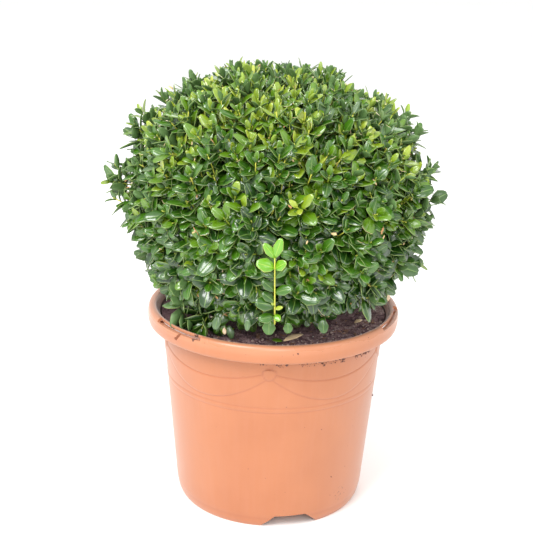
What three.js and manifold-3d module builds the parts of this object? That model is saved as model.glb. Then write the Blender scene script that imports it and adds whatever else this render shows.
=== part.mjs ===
// A clipped box ball growing in a round moulded nursery container.
// Millimetres, +Z up. The origin lies on the ground under the container's axis,
// and the side that faces the viewer is -Y. Azimuths are degrees from +X.

import * as THREE from 'three';
import { mergeVertices } from 'three/addons/utils/BufferGeometryUtils.js';
import Module from 'manifold-3d';

const wasm = await Module();
wasm.setup();

// Space kept between neighbouring solids, and how finely round shapes are divided.
const GAP = 0.3;
const ROUND_SEGMENTS = 60;
const CURVE_STEPS = 4;
const BLOCK_STEPS = 8;
const HOLE_SEGMENTS = 16;

// Container: a conical wall on a rounded foot, with a raised floor inside the foot ring.
const POT_HEIGHT = 240.6;
const WALL_THICKNESS = 2.5;
const WALL_TOP = { radius: 132.6, z: 221 };
const WALL_FOOT = { radius: 115, z: 18 };
const FOOT_RADIUS = 110;
const FOOT_THICKNESS = 3.4;
const FOOT_SPREAD = 4.4;
const FOOT_BEND = { radius: 113.6, z: 5 };
const FLOOR_UNDERSIDE = 16;
const FLOOR_THICKNESS = 2.6;
const FLOOR_FILLET = 6;

// Rim: the wall flares out under a rolled top, whose skirt hangs free of the wall.
const FLARE_Z = 219;
const RIM_RADIUS = 150;
const RIM_CREST_RADIUS = 144.4;
const RIM_THICKNESS = 2.2;
const RIM_BULGE_Z = 230;
const LIP_RADIUS = 139.8;
const LIP_ROUNDING = { across: 1, down: 2 };
const SKIRT_EDGE = { radius: 148.6, z: 221 };
const CHANNEL_TOP = { radius: 142.4, z: 237.2 };
const CHANNEL_BEND = { radius: 148, z: 237.8 };
const FLARE_BEND_OUTSIDE = { radius: 134.4, z: 230 };
const FLARE_BEND_INSIDE = { radius: 134.8, z: 231 };

// Hand grips: a bar lower than the rim, and a sunk ledge behind it with small holes at its ends.
const GRIP_COUNT = 3;
const GRIP_AZIMUTH = -17.5;
const GRIP_ANGLE = 30;
const GRIP_INNER = 143.4;
const GRIP_BAR_TOP = 236.4;
const GRIP_LEDGE_LOW = 231.6;
const GRIP_LEDGE_TOP = 234;
const GRIP_HOLE_INNER = 144.2;
const GRIP_HOLE_OUTER = 147;
const GRIP_HOLE_ANGLE = 1.6;
const GRIP_HOLES_AWAY = [-13.6, -11.3, 11.3, 13.6];
const CUT_MARGIN = 5;

// Foot: three wide notches between the feet, and drain holes in the floor.
const NOTCH_COUNT = 3;
const NOTCH_AZIMUTH = -77;
const NOTCH_BOTTOM_ANGLE = 36.6;
const NOTCH_TOP_ANGLE = 18.4;
const NOTCH_HEIGHT = 15;
const DRAIN_COUNT = 6;
const DRAIN_RADIUS = 6.5;
const DRAIN_CIRCLE_RADIUS = 80;

// Potting soil, and the short stem that stands on it inside the foliage.
const SOIL_Z = 225;
const SOIL_CHAMFER = 7.5;
const STEM_BASE_RADIUS = 19;
const STEM_RADIUS = 12;
const STEM_TOP_RADIUS = 9;
const STEM_FLARE_HEIGHT = 22;
const STEM_HEIGHT = 78;
const STEM_LEAN = 0.06;
const STEM_SEGMENTS = 24;

// Foliage: a clipped ball, flattened on top and drawn in towards the soil.
const BALL_RADIUS = 179;
const BALL_AXIS_X = -1;
const BALL_EQUATOR_Z = 368;
const BALL_RISE = 162;
const BALL_DROP = 164;
const BALL_TOP_POWER = 2.12;
const BALL_BOTTOM_POWER = 2.1;
const BALL_SEGMENTS = 52;
const BALL_RINGS = 26;
const LUMP_DEPTH = 0.03;
const TUFT_SPREAD = 0.25;

// Tufts that stand furthest out: azimuth, elevation and how far they reach.
const TUFTS = [
  { azimuth: 176, elevation: 8, reach: 10 },
  { azimuth: 168, elevation: 36, reach: 7 },
  { azimuth: -12, elevation: 4, reach: 8 },
  { azimuth: 14, elevation: 34, reach: 8 },
  { azimuth: 98, elevation: 12, reach: 7 },
  { azimuth: -104, elevation: 16, reach: 7 },
  { azimuth: -58, elevation: -6, reach: 6 },
  { azimuth: 132, elevation: -18, reach: 7 },
  { azimuth: 52, elevation: -4, reach: 6 },
];

const MATERIALS = {
  pot: { color: 0xf0a47a, roughness: 0.42, metalness: 0 },
  soil: { color: 0x46333a, roughness: 0.95, metalness: 0 },
  stem: { color: 0x7a6a4e, roughness: 0.85, metalness: 0 },
  foliage_ball: { color: 0x2f6a24, roughness: 0.5, metalness: 0 },
};

const radians = THREE.MathUtils.degToRad;

// A closed, indexed geometry as a solid that can be joined and cut.
function solidOf(geometry) {
  const bare = geometry.clone();
  bare.deleteAttribute('normal');
  bare.deleteAttribute('uv');
  const merged = mergeVertices(bare, 1e-4);
  const index = merged.index.array;
  const triangles = [];
  for (let i = 0; i < index.length; i += 3) {
    const [a, b, c] = [index[i], index[i + 1], index[i + 2]];
    if (a !== b && b !== c && c !== a) triangles.push(a, b, c);
  }
  return new wasm.Manifold(new wasm.Mesh({
    numProp: 3,
    vertProperties: new Float32Array(merged.attributes.position.array),
    triVerts: new Uint32Array(triangles),
  }));
}

// A solid as a geometry with flat facets.
function geometryOf(solid) {
  const mesh = solid.getMesh();
  const geometry = new THREE.BufferGeometry();
  geometry.setAttribute('position', new THREE.BufferAttribute(mesh.vertProperties, 3));
  geometry.setIndex(new THREE.BufferAttribute(mesh.triVerts, 1));
  geometry.computeVertexNormals();
  return geometry;
}

// A profile of radius and height, turned about Z.
function turned(path, segments) {
  const geometry = new THREE.LatheGeometry(path.getPoints(CURVE_STEPS), segments);
  geometry.rotateX(Math.PI / 2);
  return solidOf(geometry);
}

// Outer radius of the container's straight wall at a height.
function wallRadius(z) {
  const slope = (WALL_TOP.radius - WALL_FOOT.radius) / (WALL_TOP.z - WALL_FOOT.z);
  return WALL_FOOT.radius + slope * (z - WALL_FOOT.z);
}

// Inner radius of the straight wall at a height.
function innerRadius(z) {
  return wallRadius(z) - WALL_THICKNESS;
}

// The container's section, from the axis under the floor round to the axis above it.
function potSection() {
  const floorTop = FLOOR_UNDERSIDE + FLOOR_THICKNESS;
  const innerFoot = FOOT_RADIUS - FOOT_THICKNESS;
  const path = new THREE.Path();
  path.moveTo(0, FLOOR_UNDERSIDE);
  path.lineTo(innerFoot + FOOT_SPREAD, FLOOR_UNDERSIDE);
  path.lineTo(innerFoot, 0);
  path.lineTo(FOOT_RADIUS, 0);
  path.quadraticCurveTo(FOOT_BEND.radius, FOOT_BEND.z, WALL_FOOT.radius, WALL_FOOT.z);
  path.lineTo(wallRadius(FLARE_Z), FLARE_Z);
  path.quadraticCurveTo(
    FLARE_BEND_OUTSIDE.radius,
    FLARE_BEND_OUTSIDE.z,
    CHANNEL_TOP.radius,
    CHANNEL_TOP.z,
  );
  path.quadraticCurveTo(
    CHANNEL_BEND.radius,
    CHANNEL_BEND.z,
    RIM_RADIUS - RIM_THICKNESS,
    RIM_BULGE_Z,
  );
  path.lineTo(SKIRT_EDGE.radius - RIM_THICKNESS, SKIRT_EDGE.z);
  path.lineTo(SKIRT_EDGE.radius, SKIRT_EDGE.z);
  path.quadraticCurveTo(
    RIM_RADIUS,
    (SKIRT_EDGE.z + RIM_BULGE_Z) / 2,
    RIM_RADIUS,
    RIM_BULGE_Z,
  );
  path.quadraticCurveTo(RIM_RADIUS, POT_HEIGHT, RIM_CREST_RADIUS, POT_HEIGHT);
  path.quadraticCurveTo(
    LIP_RADIUS + LIP_ROUNDING.across,
    POT_HEIGHT,
    LIP_RADIUS,
    POT_HEIGHT - LIP_ROUNDING.down,
  );
  path.quadraticCurveTo(
    FLARE_BEND_INSIDE.radius,
    FLARE_BEND_INSIDE.z,
    innerRadius(FLARE_Z),
    FLARE_Z,
  );
  path.lineTo(innerRadius(floorTop + FLOOR_FILLET), floorTop + FLOOR_FILLET);
  path.quadraticCurveTo(
    innerRadius(floorTop),
    floorTop,
    innerRadius(floorTop) - FLOOR_FILLET,
    floorTop,
  );
  path.lineTo(0, floorTop);
  return path;
}

// A curved block between two radii and two azimuths; its sides may draw in with height.
function ringBlock({
  inner,
  outer,
  low,
  high,
  azimuth,
  lowAngle,
  highAngle = lowAngle,
  steps = BLOCK_STEPS,
}) {
  const positions = [];
  const index = [];
  for (let i = 0; i <= steps; i += 1) {
    for (const [radius, z, angle] of [
      [inner, low, lowAngle],
      [outer, low, lowAngle],
      [outer, high, highAngle],
      [inner, high, highAngle],
    ]) {
      const turn = radians(azimuth + angle * (i / steps - 0.5));
      positions.push(radius * Math.cos(turn), radius * Math.sin(turn), z);
    }
  }
  for (let i = 0; i < steps; i += 1) {
    for (let side = 0; side < 4; side += 1) {
      const next = (side + 1) % 4;
      const [a, b] = [4 * i + side, 4 * i + next];
      index.push(a, a + 4, b, b, a + 4, b + 4);
    }
  }
  const last = 4 * steps;
  index.push(0, 1, 2, 0, 2, 3, last, last + 2, last + 1, last, last + 3, last + 2);
  const geometry = new THREE.BufferGeometry();
  geometry.setAttribute('position', new THREE.Float32BufferAttribute(positions, 3));
  geometry.setIndex(index);
  return solidOf(geometry);
}

// One hand grip: the rim's outer half is lowered, and a ledge closes the gap behind the bar.
function sinkGrip(pot, azimuth) {
  const lowered = pot.subtract(ringBlock({
    inner: GRIP_INNER,
    outer: RIM_RADIUS + CUT_MARGIN,
    low: GRIP_BAR_TOP,
    high: POT_HEIGHT + CUT_MARGIN,
    azimuth,
    lowAngle: GRIP_ANGLE,
  }));
  let grip = lowered.add(ringBlock({
    inner: GRIP_INNER - RIM_THICKNESS,
    outer: RIM_RADIUS - RIM_THICKNESS / 2,
    low: GRIP_LEDGE_LOW,
    high: GRIP_LEDGE_TOP,
    azimuth,
    lowAngle: GRIP_ANGLE,
  }));
  for (const away of GRIP_HOLES_AWAY) {
    grip = grip.subtract(ringBlock({
      inner: GRIP_HOLE_INNER,
      outer: GRIP_HOLE_OUTER,
      low: GRIP_LEDGE_LOW - CUT_MARGIN,
      high: POT_HEIGHT,
      azimuth: azimuth + away,
      lowAngle: GRIP_HOLE_ANGLE,
      steps: 1,
    }));
  }
  return grip;
}

function makePot() {
  let pot = turned(potSection(), ROUND_SEGMENTS);
  for (let i = 0; i < GRIP_COUNT; i += 1) {
    pot = sinkGrip(pot, GRIP_AZIMUTH + (360 / GRIP_COUNT) * i);
  }
  for (let i = 0; i < NOTCH_COUNT; i += 1) {
    pot = pot.subtract(ringBlock({
      inner: FOOT_RADIUS - FOOT_THICKNESS - CUT_MARGIN,
      outer: WALL_FOOT.radius + CUT_MARGIN,
      low: -CUT_MARGIN / 10,
      high: NOTCH_HEIGHT,
      azimuth: NOTCH_AZIMUTH + (360 / NOTCH_COUNT) * i,
      lowAngle: NOTCH_BOTTOM_ANGLE,
      highAngle: NOTCH_TOP_ANGLE,
    }));
  }
  for (let i = 0; i < DRAIN_COUNT; i += 1) {
    const turn = radians((360 / DRAIN_COUNT) * i);
    const drain = new THREE.CylinderGeometry(
      DRAIN_RADIUS,
      DRAIN_RADIUS,
      2 * CUT_MARGIN,
      HOLE_SEGMENTS,
    );
    drain.rotateX(Math.PI / 2);
    drain.translate(
      DRAIN_CIRCLE_RADIUS * Math.cos(turn),
      DRAIN_CIRCLE_RADIUS * Math.sin(turn),
      FLOOR_UNDERSIDE + FLOOR_THICKNESS / 2,
    );
    pot = pot.subtract(solidOf(drain));
  }
  return pot;
}

// The soil fills the container to a finger's breadth under the rim.
function makeSoil() {
  const floorZ = FLOOR_UNDERSIDE + FLOOR_THICKNESS + GAP;
  const side = (z) => innerRadius(z) - GAP;
  const path = new THREE.Path();
  path.moveTo(0, floorZ);
  path.lineTo(side(floorZ) - SOIL_CHAMFER, floorZ);
  path.lineTo(side(floorZ + SOIL_CHAMFER), floorZ + SOIL_CHAMFER);
  path.lineTo(side(FLARE_Z), FLARE_Z);
  path.lineTo(side(FLARE_Z), SOIL_Z);
  path.lineTo(0, SOIL_Z);
  return turned(path, ROUND_SEGMENTS);
}

// The stem, or with a growth above zero the space that it needs.
function makeStem(growth = 0) {
  const foot = GAP - 2 * growth;
  const path = new THREE.Path();
  path.moveTo(0, foot);
  path.lineTo(STEM_BASE_RADIUS + growth, foot);
  path.lineTo(STEM_BASE_RADIUS + growth, GAP);
  path.quadraticCurveTo(
    STEM_RADIUS + growth,
    STEM_FLARE_HEIGHT / 3,
    STEM_RADIUS + growth,
    STEM_FLARE_HEIGHT,
  );
  path.lineTo(STEM_TOP_RADIUS + growth, STEM_HEIGHT + growth);
  path.lineTo(0, STEM_HEIGHT + growth);
  const lathe = new THREE.LatheGeometry(path.getPoints(CURVE_STEPS), STEM_SEGMENTS);
  lathe.rotateX(Math.PI / 2);
  lathe.applyMatrix4(new THREE.Matrix4().makeShear(0, 0, 0, 0, STEM_LEAN, 0));
  lathe.translate(0, 0, SOIL_Z);
  return solidOf(lathe);
}

// How far the clipped surface swells and dips along a direction, from -1 to 1.
function lump(direction) {
  const { x, y, z } = direction;
  const broad = Math.sin(3.1 * x + 1.7 * y + 0.4) * Math.cos(2.6 * z - 2.2 * y + 1.1);
  const fine = Math.sin(7.3 * x - 5.9 * z + 2.0) * Math.sin(6.7 * y + 4.1 * z + 0.7);
  return 0.55 * broad + 0.45 * fine;
}

// The extra reach of the nearest tuft along a direction.
function tuftReach(direction) {
  let reach = 0;
  for (const tuft of TUFTS) {
    const tip = new THREE.Vector3(1, 0, 0);
    tip.applyAxisAngle(new THREE.Vector3(0, -1, 0), radians(tuft.elevation));
    tip.applyAxisAngle(new THREE.Vector3(0, 0, 1), radians(tuft.azimuth));
    const away = direction.angleTo(tip) / TUFT_SPREAD;
    reach = Math.max(reach, tuft.reach * Math.exp(-(away ** 2)));
  }
  return reach;
}

// Distance from the ball's centre to its clipped surface along a direction.
function ballReach(direction) {
  const across = Math.hypot(direction.x, direction.y) / BALL_RADIUS;
  const up = Math.abs(direction.z) / (direction.z > 0 ? BALL_RISE : BALL_DROP);
  const power = direction.z > 0 ? BALL_TOP_POWER : BALL_BOTTOM_POWER;
  const smooth = (across ** power + up ** power) ** (-1 / power);
  return smooth * (1 + LUMP_DEPTH * lump(direction)) + tuftReach(direction);
}

// The ball rests on the soil and is hollowed out round the stem.
function makeFoliageBall() {
  const sphere = new THREE.SphereGeometry(1, BALL_SEGMENTS, BALL_RINGS);
  sphere.rotateX(Math.PI / 2);
  const bare = new THREE.BufferGeometry();
  bare.setAttribute('position', sphere.getAttribute('position'));
  bare.setIndex(sphere.index);
  const ball = mergeVertices(bare, 1e-4);
  const points = ball.getAttribute('position');
  const direction = new THREE.Vector3();
  for (let i = 0; i < points.count; i += 1) {
    direction.fromBufferAttribute(points, i).normalize();
    direction.multiplyScalar(ballReach(direction));
    points.setXYZ(i, direction.x + BALL_AXIS_X, direction.y, direction.z + BALL_EQUATOR_Z);
  }
  const below = new THREE.CylinderGeometry(RIM_RADIUS, RIM_RADIUS, POT_HEIGHT, 16);
  below.rotateX(Math.PI / 2);
  below.translate(0, 0, SOIL_Z + GAP - POT_HEIGHT / 2);
  return solidOf(ball).subtract(solidOf(below)).subtract(makeStem(GAP));
}

function meshOf(name, solid) {
  const mesh = new THREE.Mesh(geometryOf(solid), new THREE.MeshStandardMaterial(MATERIALS[name]));
  mesh.name = name;
  return mesh;
}

const plant = new THREE.Group();
plant.add(meshOf('pot', makePot()));
plant.add(meshOf('soil', makeSoil()));
plant.add(meshOf('stem', makeStem()));
plant.add(meshOf('foliage_ball', makeFoliageBall()));

export default plant;
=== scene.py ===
# %% [markdown]
# # A clipped box ball in its nursery pot
#
# The real object is a common box plant, clipped into a ball, that grows in a round moulded
# plastic container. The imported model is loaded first. It holds the sizes, and every piece that
# is made here goes where its solids are: the pot, the soil, the stem and the ball of foliage.

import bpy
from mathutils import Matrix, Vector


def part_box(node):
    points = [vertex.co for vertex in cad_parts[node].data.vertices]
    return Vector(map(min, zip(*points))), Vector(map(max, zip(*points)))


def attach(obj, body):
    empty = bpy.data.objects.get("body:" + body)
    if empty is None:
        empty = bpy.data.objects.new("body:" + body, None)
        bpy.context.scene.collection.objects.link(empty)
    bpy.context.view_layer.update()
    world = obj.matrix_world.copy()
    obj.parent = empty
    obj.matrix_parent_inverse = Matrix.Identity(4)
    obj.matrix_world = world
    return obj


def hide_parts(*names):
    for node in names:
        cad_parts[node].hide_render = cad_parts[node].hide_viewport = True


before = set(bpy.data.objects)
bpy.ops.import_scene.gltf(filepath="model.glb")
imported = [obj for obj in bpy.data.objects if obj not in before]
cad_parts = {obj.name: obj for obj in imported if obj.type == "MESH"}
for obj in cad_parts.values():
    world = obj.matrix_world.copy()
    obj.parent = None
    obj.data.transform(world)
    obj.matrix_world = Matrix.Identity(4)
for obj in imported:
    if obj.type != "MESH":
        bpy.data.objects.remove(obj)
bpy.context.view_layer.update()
print("solids:", sorted(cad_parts))

# %% The other modules
import math

import bpy
import numpy as np
from mathutils import Vector

# %% [markdown]
# ## Lengths
#
# All lengths below are millimetres, as on a workshop drawing, and they are turned to metres
# only when points go into a mesh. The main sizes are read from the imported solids, so the looks
# follow the construction.

# %% Sizes from the frame
MM = 0.001


def box_mm(node_name):
    """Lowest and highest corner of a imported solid, in millimetres."""
    low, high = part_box(node_name)
    return np.array(low) / MM, np.array(high) / MM


_, POT_HIGH = box_mm("pot")
SOIL_LOW, SOIL_HIGH = box_mm("soil")
STEM_LOW, STEM_HIGH = box_mm("stem")
CROWN_LOW, CROWN_HIGH = box_mm("foliage_ball")
RIM_RADIUS = POT_HIGH[0]
POT_HEIGHT = POT_HIGH[2]
SOIL_TOP = SOIL_HIGH[2]
print("rim radius", RIM_RADIUS, "pot height", POT_HEIGHT, "soil level", SOIL_TOP)

# %% [markdown]
# ## Camera
#
# The camera looks down a little on the plant, from as far away as somebody who stands in front
# of a bench. A long lens keeps the pot's sides nearly straight. The plain view transform keeps
# whites white.

# %% Camera
EYE = (-9.2, -1253.0, 684.0)
TILT_DEG = 72.3
ROLL_DEG = 1.44
LENS_MM = 74.63
CLIP_END_METRES = 100

scene = bpy.context.scene
camera_data = bpy.data.cameras.new("camera")
camera_data.lens = LENS_MM
camera_data.clip_end = CLIP_END_METRES
camera = bpy.data.objects.new("camera", camera_data)
camera.location = [MM * value for value in EYE]
camera.rotation_mode = "ZYX"
camera.rotation_euler = (math.radians(TILT_DEG), 0, math.radians(ROLL_DEG))
scene.collection.objects.link(camera)
scene.camera = camera
scene.view_settings.view_transform = "Standard"
print("camera:", LENS_MM, "mm lens,", round(np.hypot(*EYE[:2])), "mm away")

# %% [markdown]
# ## Colour and nodes
#
# Colours are written as sRGB hex, as a paint chart gives them, and turned to the linear values
# that the shaders mix. A finish could be clicked together in the shader editor, but one small
# function that adds a node, with its settings and links, makes each of them a few lines that can
# be read. A plain value stays on the socket, and another node's output is linked to it.

# %% Colours


def linear(hex_colour):
    """sRGB to linear: c / 12.92 up to 0.04045, and ((c + 0.055) / 1.055) ** 2.4 above it."""
    channels = np.array([int(hex_colour[i:i + 2], 16) for i in (1, 3, 5)]) / 255
    curved = ((channels + 0.055) / 1.055) ** 2.4
    values = np.where(channels <= 0.04045, channels / 12.92, curved)
    return (*values.tolist(), 1.0)


print("middle grey, linear:", [round(value, 3) for value in linear("#808080")])

# %% Nodes


def plug(tree, node, inputs):
    """Fills a node's inputs, each with a plain value or with another node's output."""
    for socket, value in inputs.items():
        if isinstance(value, bpy.types.NodeSocket):
            tree.links.new(value, node.inputs[socket])
        else:
            node.inputs[socket].default_value = value


def add(tree, kind, inputs=None, stops=None, out=0, **settings):
    """Adds one node with its settings, inputs and colour stops, and returns one output of it."""
    node = tree.nodes.new("ShaderNode" + kind)
    for name, value in settings.items():
        setattr(node, name, value)
    plug(tree, node, inputs or {})
    for number, (place, colour) in enumerate(stops or []):
        elements = node.color_ramp.elements
        element = elements[number] if number < 2 else elements.new(place)
        element.position = place
        element.color = linear(colour)
    return node.outputs[out]


def new_finish(name, values):
    """A material whose Principled shader has these values: returns it, its tree, the shader."""
    material = bpy.data.materials.new(name)
    material.use_nodes = True
    shader = material.node_tree.nodes["Principled BSDF"]
    plug(material.node_tree, shader, values)
    return material, material.node_tree, shader


def per(size_mm):
    """Texture scale that gives a pattern features of about size_mm, on coordinates in metres."""
    return 1 / (size_mm * MM)


print("texture scale for 1 mm:", per(1))

# %% [markdown]
# ## Meshes
#
# A piece could be modelled by hand or with mesh operators. Here every piece is worked out as
# whole arrays of points and faces and put into a mesh at once, which is quick for many thousand
# leaves and keeps each shape a formula. Every piece rides on the plant's one body, and the
# imported solid it stands for is hidden.

# %% Meshes from arrays


def mesh_of(name, points, face_sets, finishes, finish_of_face=None):
    """Points in mm and faces, given as index arrays with 3, 4 or more columns, as one mesh."""
    mesh = bpy.data.meshes.new(name)
    mesh.vertices.add(len(points))
    mesh.vertices.foreach_set("co", (points * MM).astype(np.float32).ravel())
    corners = np.concatenate([faces.ravel() for faces in face_sets])
    sizes = np.concatenate([np.full(len(faces), faces.shape[1]) for faces in face_sets])
    starts = np.cumsum(sizes) - sizes
    mesh.loops.add(len(corners))
    mesh.loops.foreach_set("vertex_index", corners.astype(np.int32))
    mesh.polygons.add(len(sizes))
    mesh.polygons.foreach_set("loop_start", starts.astype(np.int32))
    mesh.polygons.foreach_set("use_smooth", np.ones(len(sizes), bool))
    for finish in finishes:
        mesh.materials.append(finish)
    if finish_of_face is not None:
        mesh.polygons.foreach_set("material_index", finish_of_face.astype(np.int32))
    mesh.update(calc_edges=True)
    return mesh


def add_piece(name, mesh, node_name):
    """A piece that rides on the plant's one body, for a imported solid."""
    piece = bpy.data.objects.new(name, mesh)
    scene.collection.objects.link(piece)
    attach(piece, "root")
    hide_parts(node_name)
    mesh.calc_loop_triangles()
    print(f"{name}: {len(mesh.vertices)} points, {len(mesh.loop_triangles)} triangles")
    return piece


def grid_faces(rows, columns, closed=True):
    """Quads between the points of a grid, held row by row; closed joins last column to first."""
    row = columns * np.arange(rows - 1)[:, None]
    column = np.arange(columns if closed else columns - 1)[None, :]
    after = (column + 1) % columns
    quads = [row + column, row + after, row + columns + after, row + columns + column]
    return np.stack(quads, axis=-1).reshape(-1, 4)


print("quads between three rings of four points:", len(grid_faces(3, 4)))

# %% [markdown]
# ## Unevenness
#
# Plastic, soil and bark are never quite even. A Displace modifier with a texture could shake
# them, but its result can't be asked for a single place, such as the height of the soil under a
# crumb. The helper below can. It is value noise: every corner of a cubic lattice gets a random
# height, and the points between are blended. It is seeded, so the plant is the same each time.

# %% Value noise
NOISE_TABLE = np.random.default_rng(7).uniform(-1, 1, 8192)
HASH_PRIMES = [73856093, 19349663, 83492791]
SEED_SHIFT = 0.37  # moves the lattice, so that two seeds don't share their corners
SEED_STEP = 911


def noise(points, size, seed=0):
    """Random values at lattice corners `size` mm apart, blended with 3t^2 - 2t^3; -1 to 1."""
    scaled = points / size + SEED_SHIFT * seed
    cell = np.floor(scaled).astype(np.int64)
    t = scaled - cell
    t = t * t * (3 - 2 * t)
    total = np.zeros(len(points))
    for corner in np.ndindex(2, 2, 2):
        weight = np.prod(np.where(corner, t, 1 - t), axis=1)
        key = (cell + corner) * HASH_PRIMES
        index = (key[:, 0] ^ key[:, 1] ^ key[:, 2]) + SEED_STEP * seed
        total += weight * NOISE_TABLE[index % len(NOISE_TABLE)]
    return total


print("noise at three places:", noise(np.array([[1.0, 2, 3], [4, 5, 6], [7, 8, 9]]), 3).round(2))

# %% [markdown]
# ## Directions and places about the axis
#
# The pot is round, so most places on it are an azimuth, a distance from the axis and a height,
# and most patterns on it repeat round it. Three short helpers say so in one place each.

# %% Directions and places


def unit(vectors):
    """Vectors divided by their length."""
    return vectors / np.linalg.norm(vectors, axis=-1, keepdims=True)


def around(azimuth, radius, z):
    """Points at (r cos a, r sin a, z), azimuths in degrees; arrays are broadcast together."""
    turn = np.radians(azimuth)
    return np.stack(np.broadcast_arrays(radius * np.cos(turn), radius * np.sin(turn), z), axis=-1)


def turn_from(middle, azimuth, span=360):
    """Degrees from middle to azimuth the short way, in a pattern that repeats every span."""
    return (azimuth - middle + span / 2) % span - span / 2


print("from 350 to 10 degrees:", turn_from(350, 10))

# %% [markdown]
# ## Tubes along curves
#
# Boughs, twigs and shoots are round in section and bend gently, and a drill is a straight one.
# They could be curve objects with a bevel, but thousands of them are quicker as arrays: all
# tubes are worked out at once, each as rings of points about a cubic curve, and both ends are
# closed.

# %% Curves


def curve_between(start, end, heading=None, arrival=None):
    """Four control points of cubic curves; the inner two lie a third of the way along."""
    third = np.linalg.norm(end - start, axis=1, keepdims=True) / 3
    chord = unit(end - start)
    leave = chord if heading is None else heading
    arrive = chord if arrival is None else arrival
    return np.stack([start, start + third * leave, end - third * arrive, end], axis=1)


def on_curve(control, t):
    """Points and headings at t: (1-t)^3 a + 3t(1-t)^2 b + 3t^2(1-t) c + t^3 d, and its slope."""
    t = np.asarray(t)[..., None]
    a, b, c, d = (control[:, None, k] for k in range(4))
    places = (1 - t) ** 3 * a + 3 * t * (1 - t) ** 2 * b + 3 * t ** 2 * (1 - t) * c + t ** 3 * d
    slopes = (1 - t) ** 2 * (b - a) + 2 * t * (1 - t) * (c - b) + t ** 2 * (d - c)
    return places, unit(slopes)


sample = curve_between(np.zeros((1, 3)), np.array([[0.0, 0, 10]]))
print("a quarter along a straight curve:", on_curve(sample, [[0.25]])[0].round(2).tolist())

# %% Tubes
NEARLY_UP = [0.03, 0.05, 1.0]


def side_of(vectors):
    """A unit vector square to each vector: its cross product with up, so nearly level."""
    level = np.cross(vectors, NEARLY_UP)
    upright = np.linalg.norm(level, axis=-1, keepdims=True) <= 0.08
    return unit(np.where(upright, [1.0, 0, 0], level))


def tubes(control, first_radius, last_radius, sides, spans, swell=None):
    """Closed tubes: curve point + radius * (cos a * across + sin a * beside), ring by ring.

    The radius goes evenly from first to last, and swell(points) in mm is added to it."""
    count = len(control)
    t = np.broadcast_to(np.linspace(0, 1, spans + 1), (count, spans + 1))
    centres, along = on_curve(control, t)
    across = side_of(control[:, 3] - control[:, 0])[:, None]
    across = unit(across - (across * along).sum(-1, keepdims=True) * along)
    beside = np.cross(along, across)
    turn = 2 * np.pi * np.arange(sides) / sides
    cosine, sine = np.cos(turn)[:, None], np.sin(turn)[:, None]
    spoke = cosine * across[:, :, None] + sine * beside[:, :, None]
    radius = first_radius[:, None] * (1 - t) + last_radius[:, None] * t
    points = (centres[:, :, None] + radius[:, :, None, None] * spoke).reshape(-1, 3)
    if swell is not None:
        points = points + swell(points)[:, None] * spoke.reshape(-1, 3)
    first = (np.arange(count) * sides * (spans + 1))[:, None]
    walls = (first[:, :, None] + grid_faces(spans + 1, sides)).reshape(-1, 4)
    ring = np.arange(sides)[None, :]
    ends = np.concatenate([first + ring[:, ::-1], first + sides * spans + ring])
    return points, [walls, ends]


print("points in a tube with six sides:", len(tubes(sample, np.ones(1), np.ones(1), 6, 1)[0]))

# %% [markdown]
# ## The pot's section
#
# The real container is injection moulded: one thin wall of plastic with a rolled rim, a raised
# floor and a foot ring. It could be a lathe of a few points with a bevel and a subdivision, but
# the wall carries a moulded ornament that needs points where the lines run. So the section is
# worked out as an array of radius and height, close together where the ornament is, and then
# turned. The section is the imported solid's own, so nothing changes size.

# %% Sizes of the section, in mm
WALL_THICKNESS = 2.5
WALL_FOOT = (RIM_RADIUS - 35, 18)
WALL_TOP = (RIM_RADIUS - 17.4, 221)
FOOT_RADIUS = RIM_RADIUS - 40
FOOT_THICKNESS = 3.4
FOOT_SPREAD = 4.4  # how much wider the foot ring's inside is at the floor
FLOOR_TOP = SOIL_LOW[2] - 0.3
FLOOR_UNDERSIDE = FLOOR_TOP - 2.6
FLOOR_CORNER = 6  # radius between floor and wall
FLARE_Z = 219
RIM_THICKNESS = 2.2
RIM_BULGE_Z = 230  # where the rim is widest
RIM_TOP_INSET = 5.6  # from the widest ring in to the highest
SKIRT_EDGE = (RIM_RADIUS - 1.4, 221)
LIP = (RIM_RADIUS - 10.2, POT_HEIGHT - 2)
ORNAMENT_LOW_Z = 147
ORNAMENT_HIGH_Z = 207
ORNAMENT_ROW = 0.9  # rows this close carry the ornament's lines


def wall_radius(z):
    """Outer radius of the straight wall: a line from the foot to the flare."""
    slope = (WALL_TOP[0] - WALL_FOOT[0]) / (WALL_TOP[1] - WALL_FOOT[1])
    return WALL_FOOT[0] + slope * (z - WALL_FOOT[1])


print("wall radius at the ground and at the flare:", wall_radius(np.array([0, FLARE_Z])).round(1))

# %% The section as a chain of stretches


def stretch(start, control, end, steps):
    """start + t (end - start), or (1-t)^2 start + 2t(1-t) control + t^2 end; not the start."""
    t = np.linspace(0, 1, steps + 1)[1:, None]
    start, end = np.array(start), np.array(end)
    if control is None:
        return start + t * (end - start)
    return (1 - t) ** 2 * start + 2 * t * (1 - t) * np.array(control) + t ** 2 * end


def chain(start, stretches):
    """Rows of control, end and steps, each stretch drawn from where the one before ended."""
    starts = [start] + [end for _, end, _ in stretches]
    return np.concatenate([stretch(begin, *row) for begin, row in zip(starts, stretches)])


print("a stretch in two steps:", stretch((0, 0), None, (4, 2), 2).tolist())

# %% The whole section


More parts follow.
